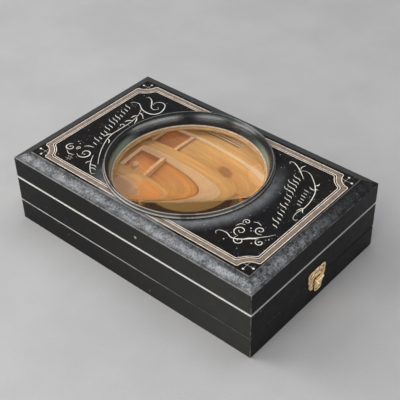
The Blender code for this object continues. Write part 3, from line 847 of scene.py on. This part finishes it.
class VIEWER_OT_fittings(bpy.types.Operator):
    """Softens and finishes the slotted leaf and the boards, slips, stops and strips below it."""

    bl_idname = "viewer.fittings"
    bl_label = "Natural wood fittings"

    def execute(self, context):
        face, lower_face, edge = colours().board, colours().deep_board, colours().cut_edge
        pale = (0.84, 0.56, 0.33)
        boards = {
            "slotted_leaf": board_wood("leaf_wood", face, edge),
            "under_board": board_wood("lower_board_wood", lower_face, edge, 0.1, None, 20.0),
            # Painted light: the end board is painted brighter than the leaf, so the window floors in the
            # walls' shade look lit
            "end_board": board_wood("end_board_wood", (0.98, 0.45, 0.155), edge, -0.15, None, 33.0),
            "slot_slip_right": board_wood("knotted_slip_wood", face, edge, 0.0, (34.0, -3.0), 40.0),
            # Painted light: the left slip lies in the ring's shadow and is painted much paler than the other
            # slip
            "slot_slip_left": board_wood("slip_wood", (1.0, 0.65, 0.40), edge, -0.2, None, 55.0),
        }
        for node, finish in boards.items():
            softened(node, finish, sizes().board_arris, 30)
        finish = board_wood("pale_wood", pale, pale, 0.0, None, 70.0)
        stops = ["slot_stop_" + place for place in ("left", "centre", "right")]
        for node in (*stops, "guide_strip_left", "guide_strip_right"):
            softened(node, finish, sizes().board_arris, 30)
        return {"FINISHED"}


class VIEWER_OT_border(bpy.types.Operator):
    """Lays the gilt border: a hatched band between two lines, a thin inner line, and the corner crosses."""

    bl_idname = "viewer.border"
    bl_label = "Gilt border"

    def execute(self, context):
        line, band = in_mm("line_width"), in_mm("band_width")
        band_middle = line + 0.2 + band / 2
        lines = bmesh.new()
        for inset, width in ((line / 2, line), (2 * band_middle - line / 2, line), (6.5, 0.7)):
            for path in border_halves(inset):
                ribbon(lines, path, even(width))
        piece("gilt_lines", lines, gilding("gilt_line", colours().line), "lid")
        crosses = bmesh.new()
        for sign_x in (-1, 1):
            for sign_y in (-1, 1):
                x = sign_x * (in_mm("border_half_width") - 5.9)
                y = sign_y * (in_mm("border_half_length") - 7.2)
                ribbon(crosses, [(x + sign_x * 4.4, y), (x - sign_x * 4.2, y)], swelling(0.2, 0.62))
                ribbon(crosses, [(x, y + sign_y * 5.4), (x, y - sign_y * 5.8)], swelling(0.2, 0.62))
                dot(crosses, x + sign_x * 5.0, y, 1.0)
                dot(crosses, x, y + sign_y * 5.9, 1.0)
        piece("silvery_corner_crosses", crosses, gilding("silvery_cross", colours().silver), "lid")
        hatched = bmesh.new()
        for path in border_halves(band_middle):
            ribbon(hatched, path, even(band))
        piece("gilt_hatched_band", hatched, gilding("gilt_hatched", colours().gilt, True), "lid")
        return {"FINISHED"}


def curl(centre, outer, start, sweep, inner):
    """Points of a spiral about a centre, from the outer radius at the start angle round to the inner one."""
    count = max(6, round(abs(sweep) / 30))
    points = []
    for share in (step / count for step in range(count + 1)):
        radius = outer + (inner - outer) * share**0.8
        turn = math.radians(start + sweep * share)
        points.append((centre[0] + radius * math.cos(turn), centre[1] + radius * math.sin(turn)))
    return points


# Stems, twigs and leaves near the front and then near the back: points along each line in millimetres on
# the lid, and the width of the pen, thin and thick
STEMS = (
    (((-53, -71.5), (-51, -69.5), (-48, -71), (-47, -77), (-49, -84), (-45, -91.5), (-38, -98),
      (-31, -104), (-25, -108)), 0.25, 0.9),
    (((-44, -92), (-41, -95), (-37, -101)), 0.4, 1.5),
    (((-36, -77.5), (-32, -79), (-30.5, -83)), 0.25, 0.6),
    (((-23.5, -93), (-22.5, -89), (-24, -85.5)), 0.25, 0.6),
    (((45, -84), (50, -78), (55, -71), (58, -65), (57, -61.5), (54.5, -63)), 0.3, 0.8),
    (((50, -75), (54.5, -78.5), (53.5, -85), (47.2, -92.9), (43.4, -96.6), (36, -101.8), (24, -105.4),
      (13.5, -106.2), (6, -105), (-0.5, -106.5), (-1.8, -109.4), (0.2, -110.4)), 0.3, 0.8),
    (((53, -75), (57, -73.5), (61, -75)), 0.25, 0.7),
    (((43.4, -96.6), (45.5, -98.2), (48.5, -98)), 0.25, 1.0),
    (((42.3, -97.6), (40.3, -99.5), (40.7, -102)), 0.25, 1.0),
    (((38.7, -100), (38.2, -97), (39.4, -94)), 0.25, 1.0),
    (((15, -106.2), (11.5, -104.2), (8, -103.5)), 0.25, 0.9),
    (((13.5, -106.2), (10.5, -107.6), (9.2, -109.2)), 0.25, 0.9),
    (((51, 101.5), (53.2, 99.8), (51.5, 95), (47, 90.5), (42.5, 87), (41.2, 82.5), (44.5, 80),
      (46.5, 82.5)), 0.25, 0.9),
    (((46, 88.3), (50.5, 88.8), (54, 85.5), (53.4, 80), (48.4, 76.2), (41, 74.6), (35.5, 77.5),
      (33.4, 84), (35, 92), (39.5, 99.5), (38.5, 105.5), (35.5, 106.5)), 0.3, 1.0),
    (((34.4, 91.8), (24.8, 87.1), (12, 84.9), (1.2, 84.9), (-10.3, 85), (-20.1, 82.5), (-32.6, 76),
      (-42.7, 68.9), (-49.6, 63)), 0.3, 0.75),
    (((25, 87.2), (22, 89.4), (18, 89.6)), 0.25, 1.1),
    (((16, 85.7), (13.5, 88.6), (9.8, 89.4)), 0.25, 1.1),
    (((22.3, 86.2), (19, 83.4), (13.5, 80.8)), 0.25, 1.0),
    (((4.9, 85), (6.8, 87.5), (4.6, 89.4), (2.9, 87.6)), 0.25, 0.7),
    (((29.5, 89.2), (28, 84.5), (25.2, 81.2)), 0.25, 0.8),
    (((-10, 85), (-13, 87.4), (-17, 87.8)), 0.25, 1.0),
    (((-18, 83.2), (-19, 80), (-22.4, 77.6)), 0.25, 1.0),
    (((-52, 99), (-54.5, 94), (-53, 89)), 0.25, 0.7),
    (((-39, 91), (-36, 88), (-34.5, 83)), 0.25, 0.8),
    (((-43, 75.5), (-50, 71), (-57, 65), (-61.8, 58.6), (-60, 55.8)), 0.25, 0.75),
    (((-50, 71), (-53.5, 72.6), (-55.5, 72)), 0.25, 0.8),
    (((-54, 67.6), (-52.6, 64), (-53.4, 61)), 0.25, 0.8),
    (((-57, 65), (-55.8, 61.5), (-56.6, 58.6)), 0.25, 0.8),
)
# Curls: centre, outer radius, start angle, sweep in degrees, inner radius, width of the pen
CURLS = (
    ((-48.0, -90.0), 5.0, 60, 400, 1.2, 0.8),
    ((-38.5, -84.0), 6.2, 200, -430, 1.3, 0.95),
    ((-40.0, -104.0), 4.0, 70, 380, 1.0, 0.8),
    ((-28.5, -96.0), 5.2, 230, -420, 1.2, 0.9),
    ((-27.0, -81.5), 3.6, 160, -400, 0.9, 0.7),
    ((-47.0, 99.5), 5.4, 20, 420, 1.2, 0.9),
    ((-45.5, 83.0), 7.2, 130, 440, 1.5, 1.05),
    ((-43.5, 92.8), 2.5, 200, -380, 0.7, 0.6),
)
# Dots: place and radius
DOTS = (
    *((-31, -88.5, 0.6), (-33.5, -90.5, 0.5), (-44.5, -99.5, 0.55), (-33, -107.5, 0.5), (-54, -80, 0.5)),
    *((29, 86.5, 0.65), (27, 83.3, 0.6), (25, 80.6, 0.5), (-37, 100, 0.5), (-38.5, 96.5, 0.45)),
)
STAR_CENTRE = Vector((-58.5, 89.0))


class VIEWER_OT_scrolls(bpy.types.Operator):
    """Draws the scrolls and twigs at both ends of the lid."""

    bl_idname = "viewer.scrolls"
    bl_label = "Scrolls and twigs"

    def execute(self, context):
        bm = bmesh.new()
        for points, thin, thick in STEMS:
            ribbon(bm, smooth_path(points), swelling(thin, thick, 0.45))
        for *shape, thick in CURLS:
            points = curl(*shape)
            ribbon(bm, smooth_path(points), swelling(0.3, thick, 0.4))
            dot(bm, *points[-1], 0.55)
        for x, y, radius in DOTS:
            dot(bm, x, y, radius)
        for turn in range(0, 360, 60):
            ray = Vector((math.cos(math.radians(turn)), math.sin(math.radians(turn))))
            ribbon(bm, [STAR_CENTRE + ray * 0.9, STAR_CENTRE + ray * 3.4], swelling(0.25, 0.7))
        piece("silvery_scrolls", bm, gilding("silvery_scroll", colours().silver), "lid")
        return {"FINISHED"}


def bell(value, centre, width):
    """1 at the centre, falling off smoothly on both sides."""
    return math.exp(-(((value - centre) / width) ** 2))


def stroke_row(bm, start, end, count, heights, lean, width):
    """A row of separate slanting pen strokes that stand on a line."""
    start, end = Vector(start), Vector(end)
    rise = Vector((math.sin(math.radians(lean)), math.cos(math.radians(lean))))
    for number in range(count):
        share = number / (count - 1)
        foot = start.lerp(end, share)
        height = heights(number, share)
        bow = Vector((rise.y, -rise.x)) * 0.07 * height
        places = ((0.0, -0.3), (0.22, 1.0), (0.5, 0.0), (0.78, -1.0), (1.0, 0.3))
        points = [foot + rise * up * height + bow * out for up, out in places]
        ribbon(bm, smooth_path(points), swelling(0.3, width, 0.4))


class VIEWER_OT_stroke_rows(bpy.types.Operator):
    """Cuts the rows of plain slanting strokes between the scrolls. They spell nothing."""

    bl_idname = "viewer.stroke_rows"
    bl_label = "Rows of strokes"

    def execute(self, context):
        bm = bmesh.new()

        def near_heights(number, share):
            return 5.6 + 7.0 * bell(share, 0.78, 0.14) + (0.0, 3.4, -1.2, 1.6)[number % 4]

        def far_heights(number, share):
            return 5.6 + 4.5 * bell(share, 0.56, 0.1) + (0.0, 3.2, -1.0, 1.8)[number % 4]

        def small_heights(number, share):
            return 4.0 + 1.0 * (number % 2)

        stroke_row(bm, (-18, -104.0), (41, -83.5), 14, near_heights, 20, 0.75)
        stroke_row(bm, (15, -102.5), (33, -97.5), 6, small_heights, 14, 0.65)
        stroke_row(bm, (-31, 84.0), (28, 100.2), 14, far_heights, 18, 0.75)
        piece("silvery_strokes", bm, gilding("silvery_stroke", colours().silver), "lid")
        return {"FINISHED"}


def scalloped(start, end, lobes, depth, steps=10):
    """Points from start to end whose edge swells out to the right in equal lobes."""
    start, end = Vector(start), Vector(end)
    along = end - start
    outward = Vector((along.y, -along.x)).normalized()
    shares = [step / (lobes * steps) for step in range(lobes * steps + 1)]
    return [tuple(start + along * t + outward * depth * abs(math.sin(math.pi * lobes * t))) for t in shares]


def mirrored(right, spacing):
    """The whole outline from its right half, cut into steps of about that length, keeping its corners."""
    outline = right + [(-x, z) for x, z in reversed(right) if abs(x) > NEARLY_NOTHING]
    made = []
    for start, end in zip(outline, outline[1:] + outline[:1]):
        start, end = Vector(start), Vector(end)
        count = max(1, round((end - start).length / spacing))
        made += [start.lerp(end, step / count) for step in range(count)]
    return made


def stamped_plate(outline, middle, outer_y, thickness, relief, rings=34):
    """A thin plate facing the front, with pressed relief. relief(x, z, share) is from 0 to 1."""
    bm = bmesh.new()
    layer = bm.verts.layers.float.new("relief")
    middle = Vector(middle)
    pressed = 0.34 * thickness
    rows = []
    for share in [ring / rings for ring in range(1, rings + 1)] + [0.0]:
        edge = 1 - max(0.0, (share - 0.94) / 0.06) ** 2
        row = []
        for corner in outline if share else outline[:1]:
            spot = middle + (corner - middle) * share
            height = relief(spot.x, spot.y, share)
            vert = point(bm, spot.x, outer_y + pressed * (1 - height * edge), spot.y)
            vert[layer] = height * (0.4 + 0.6 * edge)
            row.append(vert)
        rows.append(row)
    hub = rows.pop()
    back = [bm.verts.new((v.co.x, (outer_y + thickness) * MM, v.co.z)) for v in rows[-1]]
    for vert in back:
        vert[layer] = 0.3
    skin(bm, [hub, *rows, back], capped=False)
    bm.faces.new(back)
    bmesh.ops.recalc_face_normals(bm, faces=bm.faces)
    return bm


class VIEWER_OT_clasp(bpy.types.Operator):
    """Presses the clasp: a leafy upper plate, a lobed keeper and the sprung tongue that laps over it."""

    bl_idname = "viewer.clasp"
    bl_label = "Stamped brass clasp"

    def execute(self, context):
        brass = stamped_brass("stamped_brass", True)
        self.upper_plate(brass)
        self.keeper(brass)
        self.tongue(brass)
        return {"FINISHED"}

    def press(self, node, body, brass, half_outline, middle_z, relief):
        """Stamps a plate from the right half of its outline and puts it in its solid's place."""
        outer_y, inner_y = reach_of("clasp_plate", "y")
        outline = mirrored(half_outline, 0.35)
        bm = stamped_plate(outline, (0, middle_z), outer_y, inner_y - outer_y, relief)
        piece(node + "_stamped", bm, brass, body, (node,), 50)

    def upper_plate(self, brass):
        half = 11.4
        bottom, top = reach_of("clasp_plate", "z")[0], 34.8
        shoulder = top - 1.8
        dip = (0.35 * half, top - 0.9)
        right = [(0, bottom)]
        right += scalloped((half - 0.6, bottom), (half, shoulder), 2, 0.9)
        right += scalloped((half - 0.5, shoulder + 0.5), dip, 1, 0.9)
        right += scalloped(dip, (0, top), 1, 0.5)
        middle_z = (bottom + top) / 2

        def leaf_relief(x, z, share):
            """A beaded edge round a spray of leaves that opens from the bottom."""
            turn = math.atan2(z - bottom - 1.0, abs(x) + 1e-6)
            far = math.hypot(x, z - bottom - 1.0)
            beads = 0.5 + 0.5 * math.cos(math.atan2(z - middle_z, x) * 46)
            edge = bell(share, 0.88, 0.06) * (0.55 + 0.45 * beads)
            veins = abs(math.sin(4.5 * turn + 0.9 * math.sin(far * 0.9)))
            leaves = veins**0.7 * (0.55 + 0.45 * math.cos(far * 1.5 - 2.0))
            boss = bell(math.hypot(x, z - bottom - 4.2), 0, 1.9)
            return held(max(edge, leaves * held((0.8 - share) / 0.1), boss))

        self.press("clasp_plate", "lid", brass, right, middle_z, leaf_relief)

    def keeper(self, brass):
        low, high = reach_of("clasp_keeper", "z")
        right = [(0, low), (3.4, low)]
        right += scalloped((4.6, low + 2.8), (8.6, low), 1, 1.2)
        right += scalloped((8.8, low + 1), (10.6, high), 1, 0.8)
        right += [(0, high)]

        def lobe_relief(x, z, share):
            """Two shells, one in each lobe, inside a plain raised edge."""
            shell = abs(math.cos(3.2 * math.atan2(abs(x) - 7.4, z - low + 1.0)))
            inner = held((0.84 - share) / 0.08)
            return held(max(0.9 * bell(share, 0.9, 0.06), inner * (0.25 + 0.6 * shell)))

        self.press("clasp_keeper", "base", brass, right, (low + high) / 2 + 0.8, lobe_relief)

    def tongue(self, brass):
        """The tongue hangs from a rolled knuckle and ends round, with a stud and a raised edge."""
        half, roll, thickness, rounding = 4.8, 1.4, 0.8, 2.8
        roll_y, roll_z = reach_of("clasp_tongue", "y")[0] + roll, 24.4
        keeper_face_y = -133.9
        face = keeper_face_y - thickness
        tip = reach_of("clasp_tongue", "z")[0]
        stud_z, stud_radius = 18.4, 1.3
        right = [(0, tip)] + arc((half - rounding, tip + rounding), rounding, -90, 0, 10)
        right += [(half, roll_z)]

        def tongue_relief(x, z, share):
            far = math.hypot(x, z - stud_z)
            rays = abs(math.cos(4 * math.atan2(x, z - stud_z)))
            fan, ring = rays * bell(far, 3.3, 1.2), bell(far, 1.8, 0.25)
            return held(max(bell(share, 0.9, 0.06), 0.8 * fan, 0.9 * ring))

        bm = stamped_plate(mirrored(right, 0.3), (0, stud_z), face, thickness, tongue_relief)
        layer = bm.verts.layers.float["relief"]
        rows = []
        for x in (-half, -half + 0.25, -half + 0.3, half - 0.3, half - 0.25, half):
            radius = roll - (0.25 if abs(x) == half else 0.0)
            rows.append([point(bm, x, roll_y + radius * c, roll_z + radius * s) for c, s in circle(28)])
            for vert in rows[-1]:
                vert[layer] = 0.7
        skin(bm, rows)
        rows = []
        for share, reach in ((1.0, 0.0), (0.92, 0.3), (0.62, 0.55), (0.25, 0.65)):
            radius, y = stud_radius * share, face + 0.2 - reach
            rows.append([point(bm, radius * c, y, stud_z + radius * s) for c, s in circle(20)])
            for vert in rows[-1]:
                vert[layer] = 0.9 if reach else 0.1
        skin(bm, rows)
        bmesh.ops.recalc_face_normals(bm, faces=bm.faces)
        piece("clasp_tongue_stamped", bm, brass, "lid", ("clasp_tongue",), 50)


class VIEWER_OT_hinges(bpy.types.Operator):
    """Finishes the brass hinges and the knob, and sets the slotted screws of the leaves."""

    bl_idname = "viewer.hinges"
    bl_label = "Brass hinges and screws"

    def execute(self, context):
        brass = stamped_brass("plain_brass")
        knob_brass = stamped_brass("knob_brass", metallic=0.3)
        for name, node in frame["nodes"].items():
            if name.startswith("hinge_") or name == "brass_knob":
                node.data.materials.clear()
                node.data.materials.append(knob_brass if name == "brass_knob" else brass)
                node.data.shade_smooth()
                node.data.set_sharp_from_angle(angle=math.radians(35))
        screw_brass = stamped_brass("screw_brass")
        screw_inset, screw_gap, leaf_face_y = 3.4, 10.5, 133.1
        for body in ("base", "lid"):
            bm = bmesh.new()
            for side in ("left", "right"):
                leaf = f"hinge_{side}_{body}_leaf"
                low, high = reach_of(leaf, "z")
                z = low + screw_inset if body == "base" else high - screw_inset
                for number in range(3):
                    x = sum(reach_of(leaf, "x")) / 2 + screw_gap * (number - 1)
                    self.screw(bm, x, leaf_face_y, z, 35.0 * number + 20.0)
            piece(f"hinge_screws_{body}", bm, screw_brass, body, (), 35)
        return {"FINISHED"}

    def screw(self, bm, x, y, z, turn):
        """A low domed screw head with a slot across it, facing the back."""
        radius, slot_half, depth, root = 1.7, 0.27, 0.28, -0.1
        turned_by = Matrix.Rotation(math.radians(turn), 2)
        rows = []
        for share, height in ((1.0, root), (0.98, 0.1), (0.75, 0.3), (0.4, 0.38)):
            row = []
            for flat in (Vector(spot) * radius * share for spot in circle(24)):
                sunk = depth if abs(flat.y) < slot_half else 0.0
                spot = turned_by @ flat
                row.append(point(bm, x + spot.x, y + max(height - sunk, root), z + spot.y))
            rows.append(row)
        skin(bm, rows)
        bmesh.ops.recalc_face_normals(bm, faces=bm.faces)


# The camera stands where the photograph was taken from: millimetres and degrees
CAMERA_TARGET = (35.39, 23.24, 0.0)
CAMERA_TURN = -48.241
CAMERA_RISE = 39.709
CAMERA_ROLL = -1.466
CAMERA_DISTANCE = 855.45
CAMERA_LENS = 82.39

# Reflector cards, from the front round by the left to the back: direction and share of power
CARDS = ((285.0, 0.35), (252.0, 0.45), (192.0, 0.35), (140.0, 0.5))
CARD_DISTANCE = 1.5

# Small oval cards that only gloss shows: place, width and height in metres. Each is laid over smaller
# ones, so that its edge fades.
GLASS_CARDS = (((0.43, 1.12, 1.06), 0.36, 0.30), ((1.24, 0.36, 0.94), 0.26, 0.44))
GLASS_CARD_LAYERS = (1.0, 0.86, 0.72, 0.58, 0.44, 0.3)

# Heights that the lamps aim at, in metres, and the kinds of ray that don't see them
AT_BOX, AT_LID = (0, 0, 0.05), (0, 0, 0.07)
NO_GLOSS = ("glossy", "transmission")
GLOSS_ONLY = ("diffuse", "transmission")


def lamp(name, place, target, width, height, watts, tint=(1, 1, 1), unseen=(), shape="RECTANGLE"):
    light = bpy.data.lights.new(name, "AREA")
    light.shape = shape
    light.size, light.size_y = width, height
    light.energy = watts
    light.color = tint
    obj = bpy.data.objects.new(name, light)
    bpy.context.scene.collection.objects.link(obj)
    obj.location = place
    obj.rotation_euler = (Vector(target) - Vector(place)).to_track_quat("-Z", "Y").to_euler()
    for rays in unseen:
        setattr(obj, "visible_" + rays, False)


class VIEWER_OT_stage(bpy.types.Operator):
    """Sets the pale floor, the soft lamps and the camera."""

    bl_idname = "viewer.stage"
    bl_label = "Floor, lamps and camera"

    def execute(self, context):
        given = context.scene.viewer_stage
        self.floor(given)
        self.lamps(given)
        self.cards(given)
        self.air(given)
        self.camera()
        return {"FINISHED"}

    def floor(self, given):
        bm = bmesh.new()
        bmesh.ops.create_grid(bm, x_segments=8, y_segments=8, size=3.0)
        mesh = bpy.data.meshes.new("pale_floor")
        bm.to_mesh(mesh)
        bm.free()
        f = Finish("pale_floor", 0.85, Specular_IOR_Level=0.05)
        cloth = f.mottle(2.2, 3, 0.6)
        clouds = f.mottle(90, 3, 0.6)
        f.colour = f.mix(f.ease(clouds, 0.3, 0.7), shade_of(given.floor, 0.95), shade_of(given.floor, 1.04))
        f.coat(shade_of(given.floor, 0.85), f.ease(cloth, 0.45, 0.7), 0.25)
        f.raise_by(cloth, 0.1, 0.2)
        mesh.materials.append(f.painted())
        obj = bpy.data.objects.new("pale_floor", mesh)
        bpy.context.scene.collection.objects.link(obj)

    def lamps(self, given):
        key_tint, fill_tint = (1.0, 0.985, 0.96), (1.0, 0.93, 0.84)
        lamp("key_lamp", (-0.61, 1.07, 1.21), AT_BOX, 0.9, 0.9, given.key_power, key_tint, ("transmission",))
        lamp("left_lamp", (-1.5, -0.1, 0.85), AT_LID, 1.1, 1.1, given.left_power)
        lamp("top_lamp", (0.2, 0.0, 1.5), AT_BOX, 1.1, 1.1, given.top_power, unseen=NO_GLOSS)
        lamp("fill_lamp", (-0.95, -0.25, 1.05), AT_BOX, 0.6, 0.6, given.fill_power, fill_tint, NO_GLOSS)

    def cards(self, given):
        for number, (direction, share) in enumerate(CARDS, 1):
            turn = math.radians(direction)
            place = (CARD_DISTANCE * math.cos(turn), CARD_DISTANCE * math.sin(turn), 0.36)
            lamp(f"card_{number}", place, AT_LID, 0.95, 0.66, given.card_power * share, unseen=GLOSS_ONLY)
        tint = (1.0, 0.86, 0.66)
        for number, (place, width, height) in enumerate(GLASS_CARDS, 1):
            for layer, share in enumerate(GLASS_CARD_LAYERS, 1):
                name = f"glass_card_{number}_{layer}"
                watts = given.glass_power * share**2 / len(GLASS_CARD_LAYERS)
                size = (width * share, height * share)
                lamp(name, place, AT_LID, *size, watts, tint, GLOSS_ONLY, "ELLIPSE")

    def air(self, given):
        scene = bpy.context.scene
        scene.world = scene.world or bpy.data.worlds.new("studio_air")
        scene.world.use_nodes = True
        background = scene.world.node_tree.nodes["Background"]
        background.inputs["Color"].default_value = (0.86, 0.88, 0.92, 1.0)
        background.inputs["Strength"].default_value = given.sky
        scene.view_settings.view_transform = "Standard"
        scene.cycles.max_bounces = 24
        scene.cycles.glossy_bounces = 16
        scene.cycles.transmission_bounces = 24

    def camera(self):
        turn, rise, roll = (math.radians(a) for a in (CAMERA_TURN, CAMERA_RISE, CAMERA_ROLL))
        tilted = Matrix.Rotation(math.pi / 2 - rise, 4, "X") @ Matrix.Rotation(roll, 4, "Z")
        axes = Matrix.Rotation(turn, 4, "Z") @ tilted
        data = bpy.data.cameras.new("photo_camera")
        data.sensor_fit = "HORIZONTAL"
        data.sensor_width = 36.0
        data.lens = CAMERA_LENS
        data.clip_start = 0.05
        obj = bpy.data.objects.new("photo_camera", data)
        bpy.context.scene.collection.objects.link(obj)
        place = (Vector(CAMERA_TARGET) + axes.col[2].to_3d() * CAMERA_DISTANCE) * MM
        obj.matrix_world = Matrix.Translation(place) @ axes
        bpy.context.scene.camera = obj


class VIEWER_PT_finishes(bpy.types.Panel):
    """Lists the steps that dress the part."""

    bl_idname = "VIEWER_PT_finishes"
    bl_label = "Lens viewer finishes"
    bl_space_type = "VIEW_3D"
    bl_region_type = "UI"
    bl_category = "Lens viewer"

    def draw(self, context):
        layout = self.layout
        for step in STEPS:
            layout.operator(step.bl_idname)
        for group in GROUPS:
            box = layout.box()
            for name in GROUPS[group].__annotations__:
                box.prop(getattr(context.scene, group), name)


STEPS = (
    VIEWER_OT_carcass,
    VIEWER_OT_ring,
    VIEWER_OT_glass,
    VIEWER_OT_fittings,
    VIEWER_OT_border,
    VIEWER_OT_scrolls,
    VIEWER_OT_stroke_rows,
    VIEWER_OT_clasp,
    VIEWER_OT_hinges,
    VIEWER_OT_stage,
)
GROUPS = {"viewer_sizes": ViewerSizes, "viewer_colours": ViewerColours, "viewer_stage": ViewerStage}
CLASSES = (*GROUPS.values(), *STEPS, VIEWER_PT_finishes)


def register():
    for each in CLASSES:
        bpy.utils.register_class(each)
    for name, group in GROUPS.items():
        setattr(bpy.types.Scene, name, PointerProperty(type=group))


def unregister():
    for name in GROUPS:
        delattr(bpy.types.Scene, name)
    for each in reversed(CLASSES):
        bpy.utils.unregister_class(each)


def main():
    register()
    for step in STEPS:
        group, name = step.bl_idname.split(".")
        getattr(getattr(bpy.ops, group), name)()


if __name__ == "__main__":
    main()
